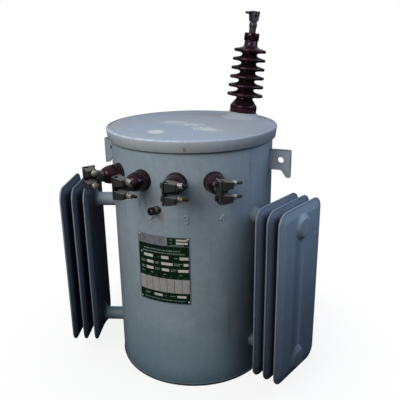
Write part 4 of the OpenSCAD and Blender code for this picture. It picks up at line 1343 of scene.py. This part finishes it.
class TRANSFORMER_OT_low_terminals(bpy.types.Operator):
    """Builds the twin clamps on the small bushings with their bolts and nuts"""

    bl_idname = "transformer.low_terminals"
    bl_label = "Low-voltage terminals"

    def execute(self, context):
        s = context.scene.transformer_low
        end = context.scene.transformer_tank.radius + s.gasket_thick + s.long
        back = end + s.collar_long + s.hexagon_long
        left = -s.spine_place
        right = left + s.spine + s.gap + s.jaw_wide
        rise = (s.jaw_high + s.jaw_space) / 2
        for number, turn in enumerate(low_turns(context.scene), 1):
            place = on_wall(turn, s.level)
            casting = gathered((self.spine(s, left, back), place), (self.collar(s, end), place))
            finished(
                f"twin_clamp_{number}", casting, bronze(), (f"lv_terminal_{number}",),
                soft=0.0012,
            )
            jaws = gathered(*[(self.jaw(s, left, back, side), place) for side in (-1, 1)])
            finished(
                f"twin_clamp_jaws_{number}", jaws, bronze(), (f"lv_clamp_jaws_{number}",),
                soft=0.0014,
            )
            dark, bright = bmesh.new(), bmesh.new()
            for side in (-1, 1):
                across = (
                    place
                    @ Matrix.Translation((0, side * rise, back + s.bolt_in))
                    @ Matrix.Rotation(math.pi / 2, 4, "Y")
                )
                put(dark, threaded(s.bolt, left - 0.002, right + s.nut_high + s.tip), across)
                put(dark, hexagon(s.nut, left - s.bolt_head, left), across)
                put(bright, washer(s.nut + 0.001, s.bolt, right, right + s.washer), across)
                nut = hexagon(s.nut, right + s.washer, right + s.nut_high)
                if number == 3 and side < 0:
                    nut.transform(across)
                    finished("twin_clamp_brass_nut", nut, brass())
                else:
                    put(bright, nut, across)
            finished(
                f"twin_clamp_bolts_{number}", dark, black_steel(), (f"lv_clamp_bolts_{number}",)
            )
            finished(f"twin_clamp_nuts_{number}", bright, zinc())
        return {"FINISHED"}

    def collar(self, s, end):
        """Round collar and hexagon that hold the clamp on its stud."""
        soft, stop = 0.0015, end + s.collar_long
        ring = turned(
            [(0, end), (s.collar - soft, end), (s.collar, end + soft), (s.collar, stop), (0, stop)], 64
        )
        six = hexagon(s.hexagon, stop, stop + s.hexagon_long, 0.0012)
        return gathered((ring, None), (six, Matrix.Rotation(math.pi / 6, 4, "Z")))

    def upright(self, corners, low, high):
        """A bar along y by its outline in x and z."""
        bar = plate(corners, high - low)
        bar.transform(Matrix.Translation((0, high, 0)) @ Matrix.Rotation(math.pi / 2, 4, "X"))
        return tidy(bar)

    def cable(self, s, left, back, side):
        """The cable's bore in the upper or lower clamp."""
        long = s.jaw_high + 0.002
        bore = rod(s.cable, 0, long, 32)
        low = s.jaw_space / 2 if side > 0 else -s.jaw_space / 2 - long
        foot = (left + s.spine + s.gap + s.cable_side, low + long, back + s.cable_in)
        bore.transform(Matrix.Translation(foot) @ Matrix.Rotation(math.pi / 2, 4, "X"))
        return bore

    def spine(self, s, left, back):
        """The fixed jaw with both cable grooves."""
        reach = s.jaw_space / 2 + s.jaw_high
        right, front = left + s.spine, back + s.jaw_deep
        root = back - 0.008
        bar = self.upright(
            [(left, root, 0), (right, root, 0), (right, front, 0.0015), (left, front, 0.006)], -reach, reach
        )
        return cut(bar, self.cable(s, left, back, -1), self.cable(s, left, back, 1))

    def jaw(self, s, left, back, side):
        """One loose jaw, with its cable groove in the side that faces the fixed jaw."""
        start = left + s.spine + s.gap
        right, front = start + s.jaw_wide, back + s.jaw_deep
        low = s.jaw_space / 2 if side > 0 else -s.jaw_space / 2 - s.jaw_high
        half = math.degrees(math.acos(-s.cable_side / s.cable))
        groove = arc(start + s.cable_side, back + s.cable_in, s.cable, half, -half, 20)
        clear, small, large = 0.0005, 0.0015, 0.006
        corners = [
            (start, back + clear, small), (right, back + clear, large),
            (right, front, large), (start, front, small),
        ]
        bar = self.upright(corners + [(x, y, 0) for x, y in groove], low, low + s.jaw_high)
        slope = (s.jaw_high - s.jaw_end) / 2
        for edge in (-1, 1):
            point = (start - clear, low + s.jaw_high * (1 + edge) / 2, 0)
            trim(bar, point, (slope, edge * s.jaw_wide, 0))
        return tidy(bar)


class TRANSFORMER_OT_ground(bpy.types.Operator):
    """Builds the ground connector on the front of the tank"""

    bl_idname = "transformer.ground"
    bl_label = "Ground connector"

    def execute(self, context):
        s = context.scene.transformer_front
        tank = context.scene.transformer_tank
        place = (
            on_wall(s.ground_turn, s.ground_level)
            @ Matrix.Translation((0, 0, tank.radius)) @ Matrix.Rotation(-s.ground_skew, 4, "Y")
        )
        face = s.pad_thick
        root, soft = -0.0095, 0.0012
        pad = turned([(0, root), (s.pad, root), (s.pad, face - soft), (s.pad - soft, face), (0, face)], 64)
        pad.transform(place)
        stretch = 1 / math.cos(s.ground_skew)
        ring = wall_ring(tank.radius, s.ground_turn, s.ground_level, s.pad + 0.001, 0.0, stretch)
        put(pad, bead(ring, tank.bead * 0.8, closed=True))
        finished("ground_pad_welded", pad, bronze(), ("ground_pad",))
        nut = hexagon(s.nut, face, face + s.nut_high, soft)
        nut.transform(place)
        finished("ground_bright_nut", nut, zinc(), ("ground_nut",))
        start = face + s.nut_high
        stop = start + s.connector_long
        body = turned(
            [(0, start), (s.connector - 0.001, start), (s.connector, start + 0.001),
             (s.connector, stop - 0.002), (s.connector - 0.002, stop), (0, stop)],
            64,
        )
        bore = rod(s.bore, -0.04, 0.04)
        bore.transform(Matrix.Translation((0, 0, (start + stop) / 2)) @ Matrix.Rotation(math.pi / 2, 4, "X"))
        body = cut(body, bore)
        body.transform(place)
        finished("ground_clamp", body, black_steel(), ("ground_connector",))
        return {"FINISHED"}


class TRANSFORMER_OT_nameplate(bpy.types.Operator):
    """Builds the riveted plate with a generic layout of blank fields"""

    bl_idname = "transformer.nameplate"
    bl_label = "Plate"

    def execute(self, context):
        s = context.scene.transformer_front
        c = context.scene.transformer_finish
        wall = context.scene.transformer_tank.radius
        seat = wall + s.plate_gap
        base = self.curved(s, seat, s.plate_thick, 0, 0, 1, 1, 0.004)
        silver = metal("plate_silver", c.silver, c.silver_dull, 0.5, 0.5, 60.0, 0.1)
        finished("plate_metal", base, silver, ("nameplate",))
        level = seat + s.plate_thick
        ground = bmesh.new()
        for left, top, right, low in ((0.012, 0.137, 0.988, 0.99), (0.6, 0.012, 0.988, 0.13)):
            put(ground, self.curved(s, level, s.print_thick, left, top, right, low, 0.0))
        green = matt("plate_print_green", c.green, c.green_faded, 40.0, 0.5, 0.4)
        finished("plate_green_print", ground, green)
        prints = (
            ("pale_fields", self.blank_fields(), c.field, c.field_dull),
            ("grey_table", self.tables(), c.table, c.table_dull),
            ("faint_dashes", self.dashes(), c.small_print, c.small_print_dull),
        )
        for name, boxes, plain, dull in prints:
            fields = bmesh.new()
            for left, top, right, low in boxes:
                put(fields, self.curved(s, level + s.print_thick, s.print_thick, left, top, right, low, 0.0))
            ink = matt(f"plate_print_{name}", plain, dull, 50.0, 0.5, 0.45)
            finished(f"plate_{name}", fields, ink)
        rivets = bmesh.new()
        high = 0.0016
        dome = [(s.rivet * math.cos(t), high * math.sin(t)) for t in (0, 0.4, 0.8, 1.2)]
        for u in (0.035, 0.965):
            for v in (0.03, 0.97):
                turn = s.plate_turn + (u - 0.5) * s.plate_wide / wall
                head = turned([(0, -0.001), (s.rivet, -0.001), *dome, (0, high)], 24)
                place = on_wall(turn, s.plate_foot + (1 - v) * s.plate_high)
                put(rivets, head, place @ Matrix.Translation((0, 0, level)))
        finished("plate_rivets", rivets, zinc())
        return {"FINISHED"}

    def curved(self, s, radius, thick, left, top, right, low, rounding):
        """A rectangle of the plate, from shares of its width and height, bent round the tank."""
        x0, x1 = (left - 0.5) * s.plate_wide, (right - 0.5) * s.plate_wide
        z0, z1 = s.plate_foot + (1 - low) * s.plate_high, s.plate_foot + (1 - top) * s.plate_high
        sheet = plate([(x0, z0, rounding), (x1, z0, rounding), (x1, z1, rounding), (x0, z1, rounding)], thick)
        cuts = int((x1 - x0) / 0.008)
        for i in range(1, cuts + 1):
            at = x0 + (x1 - x0) * i / (cuts + 1)
            bmesh.ops.bisect_plane(sheet, geom=everything(sheet), plane_co=(at, 0, 0), plane_no=(1, 0, 0))
        for v in sheet.verts:
            turn, out = s.plate_turn + v.co.x / radius, radius + v.co.z
            v.co = (out * math.sin(turn), -out * math.cos(turn), v.co.y)
        return tidy(sheet)

    def blank_fields(self):
        """Blank fields, as shares of the plate: left, top, right, low."""
        return [
            (0.76, 0.028, 0.965, 0.054), (0.76, 0.07, 0.965, 0.1), (0.06, 0.262, 0.08, 0.288),
            (0.12, 0.286, 0.315, 0.328), (0.478, 0.286, 0.618, 0.328), (0.82, 0.286, 0.975, 0.328),
            (0.18, 0.379, 0.32, 0.419), (0.475, 0.379, 0.69, 0.419), (0.885, 0.379, 0.968, 0.419),
            (0.17, 0.47, 0.318, 0.51), (0.485, 0.47, 0.62, 0.51), (0.785, 0.47, 0.97, 0.51),
            (0.315, 0.868, 0.48, 0.902), (0.755, 0.868, 0.92, 0.902),
        ]

    def tables(self):
        """Columns of the blank table, as shares of the plate."""
        lefts = [0.02 + COLUMN_PITCH * i for i in range(COLUMNS)]
        return [(left, 0.622, left + 0.1306, 0.832) for left in lefts]

    def dashes(self):
        """Rows of dashes where small print would stand, as shares of the plate."""
        made = []
        rows = ((0.196, 0.13, 0.84, 0.015), (0.236, 0.1, 0.92, 0.015), (0.945, 0.1, 0.9, 0.01))
        for top, start, stop, high in rows:
            at, i = start, 0
            while at < stop:
                wide = (0.035, 0.06, 0.022, 0.048)[i % 4]
                made.append((at, top, min(stop, at + wide), top + high))
                at, i = at + wide + 0.014, i + 1
        for left, top, right in (
            (0.64, 0.034, 0.7), (0.64, 0.076, 0.69), (0.64, 0.112, 0.9),
            (0.41, 0.302, 0.44), (0.72, 0.302, 0.79),
            (0.06, 0.384, 0.14), (0.06, 0.406, 0.15), (0.35, 0.384, 0.44), (0.35, 0.406, 0.42),
            (0.71, 0.384, 0.86), (0.71, 0.406, 0.82),
            (0.06, 0.474, 0.13), (0.06, 0.496, 0.14), (0.35, 0.474, 0.45), (0.35, 0.496, 0.43),
            (0.65, 0.474, 0.76), (0.65, 0.496, 0.73),
            (0.06, 0.548, 0.13), (0.25, 0.552, 0.31), (0.51, 0.552, 0.57), (0.8, 0.552, 0.86),
            (0.12, 0.872, 0.24), (0.12, 0.892, 0.2), (0.53, 0.88, 0.56), (0.62, 0.88, 0.72),
        ):
            made.append((left, top, right, top + 0.01))
        heads = [0.08 + COLUMN_PITCH * i for i in range(COLUMNS)]
        return made + [(left, 0.592, left + 0.015, 0.602) for left in heads]


class TRANSFORMER_OT_radiators(bpy.types.Operator):
    """Builds the pressed radiator panels and their header pipes on both sides"""

    bl_idname = "transformer.radiators"
    bl_label = "Radiators"

    def execute(self, context):
        s = context.scene.transformer_radiator
        tank = context.scene.transformer_tank
        paint = radiator_paint()
        middle = s.foot + s.high / 2
        first = tank.radius + s.gap
        levels = (s.foot + s.header_low, s.foot + s.high - s.header_top)
        for side, name in ((-1, "left"), (1, "right")):
            turn = side * s.turn
            for i in range(PANELS):
                panel = self.panel(s)
                for level in levels:
                    lift = Matrix.Translation((0, level - middle, 0))
                    put(panel, self.collar(s), lift @ Matrix.Rotation(math.pi, 4, "X"))
                    put(panel, self.collar(s) if i < PANELS - 1 else self.dome(s), lift)
                shift = Matrix.Translation((-side * s.shift, 0, first + i * s.pitch))
                panel.transform(on_wall(turn, middle) @ shift)
                finished(
                    f"{name}_pressed_panel_{i + 1}", panel, paint, (f"{name}_radiator_panel_{i + 1}",),
                    soft=0.0022, soft_angle=13,
                )
            for level, which in zip(levels, ("lower", "upper")):
                self.header(s, tank, name, which, turn, -side * s.shift, level)
        return {"FINISHED"}

    def panel(self, s):
        """A pressed plate: seam, slope, swelling faces and a crease, mirrored to both sides."""
        bm = bmesh.new()
        x, y = s.wide / 2, s.high / 2
        bm.faces.new([bm.verts.new(p) for p in ((-x, -y, 0), (x, -y, 0), (x, y, 0), (-x, y, 0))])
        bmesh.ops.bevel(
            bm, geom=bm.verts[:], offset=s.rounding, segments=8, profile=0.5, affect="VERTICES", material=-1
        )
        bmesh.ops.translate(bm, vec=(0, 0, s.seam / 2), verts=bm.verts)
        face = bm.faces[:][0]
        for wide, depth in ((s.seam_wide, 0.0), (s.slope, (s.thick - s.seam) / 2)):
            bmesh.ops.inset_region(
                bm, faces=[face], thickness=wide, depth=depth, use_boundary=True, use_even_offset=True
            )
        top = s.thick / 2
        near_top, on_line, run_out = 1e-5, 1e-4, 0.035
        half = x - s.seam_wide - s.slope
        reach = y - s.seam_wide - s.slope
        lines = [s.crease * k for k in (-1, 0, 1)]
        lines += [k * (s.crease + (half - s.crease) * t) for k in (-1, 1) for t in (0.2, 0.5, 0.8)]
        ends = [k * (reach - d) for k in (-1, 1) for d in (0.012, run_out)]
        for normal, places in (((1, 0, 0), lines), ((0, 1, 0), ends)):
            for at in places:
                inner = [f for f in bm.faces if min(v.co.z for v in f.verts) > top - near_top]
                near = dict.fromkeys(e for f in inner for e in f.edges)
                points = dict.fromkeys(v for f in inner for v in f.verts)
                bmesh.ops.bisect_plane(
                    bm, geom=[*inner, *near, *points], plane_co=tuple(at * n for n in normal), plane_no=normal
                )
        for v in bm.verts:
            inside = min(half - abs(v.co.x), reach - abs(v.co.y))
            if v.co.z > top - near_top and inside > on_line:
                across = min(1.0, max(0.0, (abs(v.co.x) - s.crease) / (half - s.crease)))
                fade = min(1.0, (reach - abs(v.co.y)) / run_out)
                v.co.z += s.crown * math.sin(math.pi * across) * fade
                if abs(v.co.x) < on_line:
                    v.co.z -= s.crease_deep * fade
        rim = [e for e in bm.edges if e.is_boundary]
        made = bmesh.ops.extrude_edge_only(bm, edges=rim)["geom"]
        for v in made:
            if isinstance(v, bmesh.types.BMVert):
                v.co.z = 0
        bmesh.ops.mirror(bm, geom=everything(bm), matrix=Matrix.Identity(4), merge_dist=near_top, axis="Z")
        return tidy(bm)

    def collar(self, s):
        """A pressed collar that meets its neighbour."""
        end = s.pitch / 2
        foot = s.thick / 2 - s.crease_deep
        slope = [
            (s.collar + 0.008, foot - 0.001), (s.collar + 0.004, foot + 0.0036), (s.collar, foot + 0.005),
            (s.collar - 0.004, foot + 0.0075), (s.collar_end + 0.0015, end - 0.002),
            (s.collar_end, end), (0, end),
        ]
        return turned([(0, 0), (s.collar + 0.008, 0), *slope], 64)

    def dome(self, s):
        """The flat-topped collar that closes the outermost face."""
        face = s.thick / 2
        top = face + s.dome
        skirt = s.collar + 0.003
        return turned(
            [(0, 0), (skirt, 0), (skirt, face + 0.0004), (s.collar + 0.0012, face + 0.0012),
             (s.collar - 0.0012, face + 0.0028), (s.dome_top + 0.003, top - 0.0028),
             (s.dome_top + 0.0014, top - 0.0012), (s.dome_top - 0.0012, top - 0.0002),
             (s.dome_top - 0.005, top), (0, top)],
            64,
        )

    def header(self, s, tank, name, which, turn, shift, level):
        """A header pipe from the wall to the first collar, with its weld beads."""
        place = on_wall(turn, level) @ Matrix.Translation((shift, 0, 0))
        stop = tank.radius + s.gap - s.pitch / 2
        inner = s.header - s.header_wall
        start = tank.radius - 0.006
        pipe = turned([(inner, start), (s.header, start), (s.header, stop), (inner, stop)], 64, ring=True)
        pipe.transform(place)
        put(pipe, bead(wall_ring(tank.radius, turn, level, s.header + 0.001, shift), tank.bead, closed=True))
        ring = [
            place @ Vector((s.header * math.cos(t), s.header * math.sin(t), stop - 0.001))
            for t in (2 * math.pi * i / 80 for i in range(80))
        ]
        put(pipe, bead(ring, tank.bead, closed=True))
        finished(f"{name}_{which}_pipe", pipe, tank_paint(), (f"{name}_{which}_header",))


class TRANSFORMER_OT_lifting_lugs(bpy.types.Operator):
    """Builds the two lifting lugs with their welds"""

    bl_idname = "transformer.lifting_lugs"
    bl_label = "Lifting lugs"

    def execute(self, context):
        s = context.scene.transformer_tank
        top = s.height - s.lug_drop
        low = top - s.lug_high
        tip = s.radius + s.lug_reach
        for side, name in ((-1, "left"), (1, "right")):
            root, tooth, soft = s.radius - 0.003, low - s.tooth_drop, 0.004
            lug = plate(
                [(root, top, 0), (root, low, 0), (tip - s.tooth_root, low, soft),
                 (tip - s.tooth_wide, tooth, soft), (tip, tooth, soft), (tip, top, soft)],
                s.lug_thick,
            )
            hole = rod(s.lug_hole, -0.02, 0.04)
            hole.transform(Matrix.Translation((s.radius + s.hole_out, top - s.hole_drop, 0)))
            lug = cut(lug, hole)
            lug.transform(Matrix.Translation((0, s.lug_thick / 2, 0)) @ Matrix.Rotation(math.pi / 2, 4, "X"))
            lug.transform(Matrix.Diagonal((side, 1, 1, 1)))
            finished(
                f"{name}_lug", tidy(lug), tank_paint(), (f"{name}_lifting_lug",), soft=0.0012
            )
            welds = bmesh.new()
            x = side * (s.radius + 0.0004)
            for y in (-s.lug_thick / 2, s.lug_thick / 2):
                put(welds, bead(along((x, y, low), (x, y, top)), s.bead))
            finished(f"{name}_lug_welds", welds, tank_paint())
        return {"FINISHED"}


class TRANSFORMER_OT_pole_brackets(bpy.types.Operator):
    """Builds the two bent pole brackets on the back with their welds"""

    bl_idname = "transformer.pole_brackets"
    bl_label = "Pole brackets"

    def execute(self, context):
        s = context.scene.transformer_tank
        x, root, face = s.bracket_wide / 2, s.radius - s.bracket_sunk, s.radius + s.bracket_reach
        t, bend = s.bracket_thick, s.bracket_bend
        high, drop = s.bracket_root / 2, (s.bracket_root - s.bracket_high) / 2
        half, tip = s.slot_half, s.slot_long / 2
        bow = half * 0.999
        for level, name in ((s.bracket_low, "lower"), (s.height - s.bracket_drop, "upper")):
            channel = plate(
                [(-x, root, 0), (-x + t, root, 0), (-x + t, face - t, bend - t), (x - t, face - t, bend - t),
                 (x - t, root, 0), (x, root, 0), (x, face, bend), (-x, face, bend)],
                s.bracket_root,
            )
            channel.transform(Matrix.Translation((0, high, 0)) @ Matrix.Rotation(math.pi / 2, 4, "X"))
            tidy(channel)
            for end in (-1, 1):
                trim(channel, (0, end * high, s.radius), (0, end * s.bracket_reach, drop))
            slot = plate([(-half, -tip, bow), (half, -tip, bow), (half, tip, bow), (-half, tip, bow)], 0.08)
            slot.transform(Matrix.Translation((0, 0, face - 0.04)))
            body = cut(tidy(channel), slot)
            place = on_wall(math.pi, level)
            body.transform(place)
            finished(
                f"{name}_bracket", body, tank_paint(), (f"{name}_pole_bracket",), soft=0.0014
            )
            welds = bmesh.new()
            out = math.sqrt(s.radius ** 2 - x ** 2)
            for edge in (-x, x):
                line = along((edge, 0.004 - high, out), (edge, high - 0.004, out))
                put(welds, bead([place @ p for p in line], s.bead * 1.3))
            finished(f"{name}_bracket_welds", welds, tank_paint())
        return {"FINISHED"}


class TRANSFORMER_OT_stage(bpy.types.Operator):
    """Sets the camera, the soft light and the pale floor"""

    bl_idname = "transformer.stage"
    bl_label = "Stage"

    def execute(self, context):
        s = context.scene.transformer_stage
        self.camera(context.scene, s)
        self.lamp(context.scene, "key_lamp", s.key_place, s.key, s.key_wide, s.key_tint)
        self.lamp(context.scene, "fill_lamp", s.fill_place, s.fill, s.fill_wide, s.fill_tint)
        self.sky(context.scene, s)
        self.floor(s)
        context.scene.view_settings.view_transform = "Standard"
        return {"FINISHED"}

    def camera(self, scene, s):
        data = bpy.data.cameras.new("camera")
        data.sensor_fit = "HORIZONTAL"
        data.sensor_width = 36.0
        data.lens = s.lens
        level = math.cos(s.pitch)
        ahead = Vector((math.sin(s.yaw) * level, math.cos(s.yaw) * level, -math.sin(s.pitch)))
        right = ahead.cross(Vector((0, 0, 1))).normalized()
        up = right.cross(ahead)
        c, n = math.cos(s.roll), math.sin(s.roll)
        across, upright = c * right + n * up, -n * right + c * up
        aim = Matrix((across, upright, -ahead)).transposed().to_4x4()
        aim.translation = (0, -s.distance, s.eye)
        camera = bpy.data.objects.new("camera", data)
        scene.collection.objects.link(camera)
        camera.matrix_world = Matrix.Rotation(s.azimuth, 4, "Z") @ aim
        scene.camera = camera

    def lamp(self, scene, name, place, power, wide, tint):
        data = bpy.data.lights.new(name, "AREA")
        data.energy = power
        data.size = wide
        data.color = tint
        lamp = bpy.data.objects.new(name, data)
        scene.collection.objects.link(lamp)
        lamp.location = place
        lamp.rotation_euler = (Vector((0, 0, 0.7)) - Vector(place)).to_track_quat("-Z", "Y").to_euler()

    def sky(self, scene, s):
        world = bpy.data.worlds.new("studio_sky")
        scene.world = world
        world.use_nodes = True
        tree = world.node_tree
        tree.nodes.clear()
        up = add(tree, "SeparateXYZ", {0: add(tree, "TexCoord").outputs["Generated"]}).outputs[2]
        level = ramp(tree, up, -0.2, 0.7, s.ground, s.sky)
        light = add(tree, "Background", {"Color": rgba(s.sky_tint), "Strength": level}).outputs[0]
        white = add(tree, "Background", {"Color": (1, 1, 1, 1), "Strength": 1.0}).outputs[0]
        shown = add(tree, "MixShader", {0: seen(tree), 1: light, 2: white}).outputs[0]
        tree.links.new(shown, tree.nodes.new("ShaderNodeOutputWorld").inputs[0])

    def floor(self, s):
        bm = bmesh.new()
        bmesh.ops.create_circle(bm, cap_ends=True, segments=96, radius=9.0)
        floor = as_object(bm, "floor")
        made = bpy.data.materials.new("studio_floor")
        made.use_nodes = True
        tree = made.node_tree
        tree.nodes.clear()
        place = add(tree, "TexCoord").outputs["Object"]
        cloud = ramp(tree, noise(tree, place, 2.0), 0.3, 0.7, 0.0, 0.04)
        tone = blend(tree, cloud, rgba(s.floor), rgba(s.floor_bounce))
        pale = add(tree, "BsdfDiffuse", {"Color": tone}).outputs[0]
        glow = add(tree, "Emission", {"Color": (1, 1, 1, 1), "Strength": 1.0}).outputs[0]
        bounce = add(tree, "BsdfDiffuse", {"Color": rgba(s.floor_bounce)}).outputs[0]
        away = add(tree, "VectorMath", {0: place}, operation="LENGTH").outputs[1]
        bright = ramp(tree, away, 0.36, 0.85, 0.84, 1.0)
        shown = add(tree, "MixShader", {0: bright, 1: pale, 2: glow}).outputs[0]
        mixed = add(tree, "MixShader", {0: seen(tree), 1: bounce, 2: shown}).outputs[0]
        tree.links.new(mixed, tree.nodes.new("ShaderNodeOutputMaterial").inputs[0])
        floor.data.materials.append(made)


class VIEW3D_PT_transformer(bpy.types.Panel):
    """Lists the steps that build the transformer"""

    bl_label = "Pole mounted transformer"
    bl_idname = "VIEW3D_PT_transformer"
    bl_space_type = "VIEW_3D"
    bl_region_type = "UI"
    bl_category = "Transformer"

    def draw(self, context):
        for step in STEPS:
            self.layout.operator(step.bl_idname)


STEPS = (
    TRANSFORMER_OT_tank,
    TRANSFORMER_OT_lid,
    TRANSFORMER_OT_high_bushing,
    TRANSFORMER_OT_high_terminal,
    TRANSFORMER_OT_low_bushings,
    TRANSFORMER_OT_low_terminals,
    TRANSFORMER_OT_ground,
    TRANSFORMER_OT_nameplate,
    TRANSFORMER_OT_radiators,
    TRANSFORMER_OT_lifting_lugs,
    TRANSFORMER_OT_pole_brackets,
    TRANSFORMER_OT_stage,
)
SETTINGS = {
    "transformer_tank": TankSizes,
    "transformer_lid": LidSizes,
    "transformer_high": HighVoltageSizes,
    "transformer_low": LowVoltageSizes,
    "transformer_front": FrontSizes,
    "transformer_radiator": RadiatorSizes,
    "transformer_finish": Finishes,
    "transformer_stage": StageSettings,
}


def register():
    for name, kind in SETTINGS.items():
        bpy.utils.register_class(kind)
        setattr(bpy.types.Scene, name, PointerProperty(type=kind))
    for kind in (*STEPS, VIEW3D_PT_transformer):
        bpy.utils.register_class(kind)


def unregister():
    for kind in reversed((*STEPS, VIEW3D_PT_transformer)):
        bpy.utils.unregister_class(kind)
    for name, kind in SETTINGS.items():
        delattr(bpy.types.Scene, name)
        bpy.utils.unregister_class(kind)


def main():
    """Builds every piece and the stage."""
    register()
    for step in STEPS:
        group, name = step.bl_idname.split(".")
        getattr(getattr(bpy.ops, group), name)()


if __name__ == "__main__":
    main()
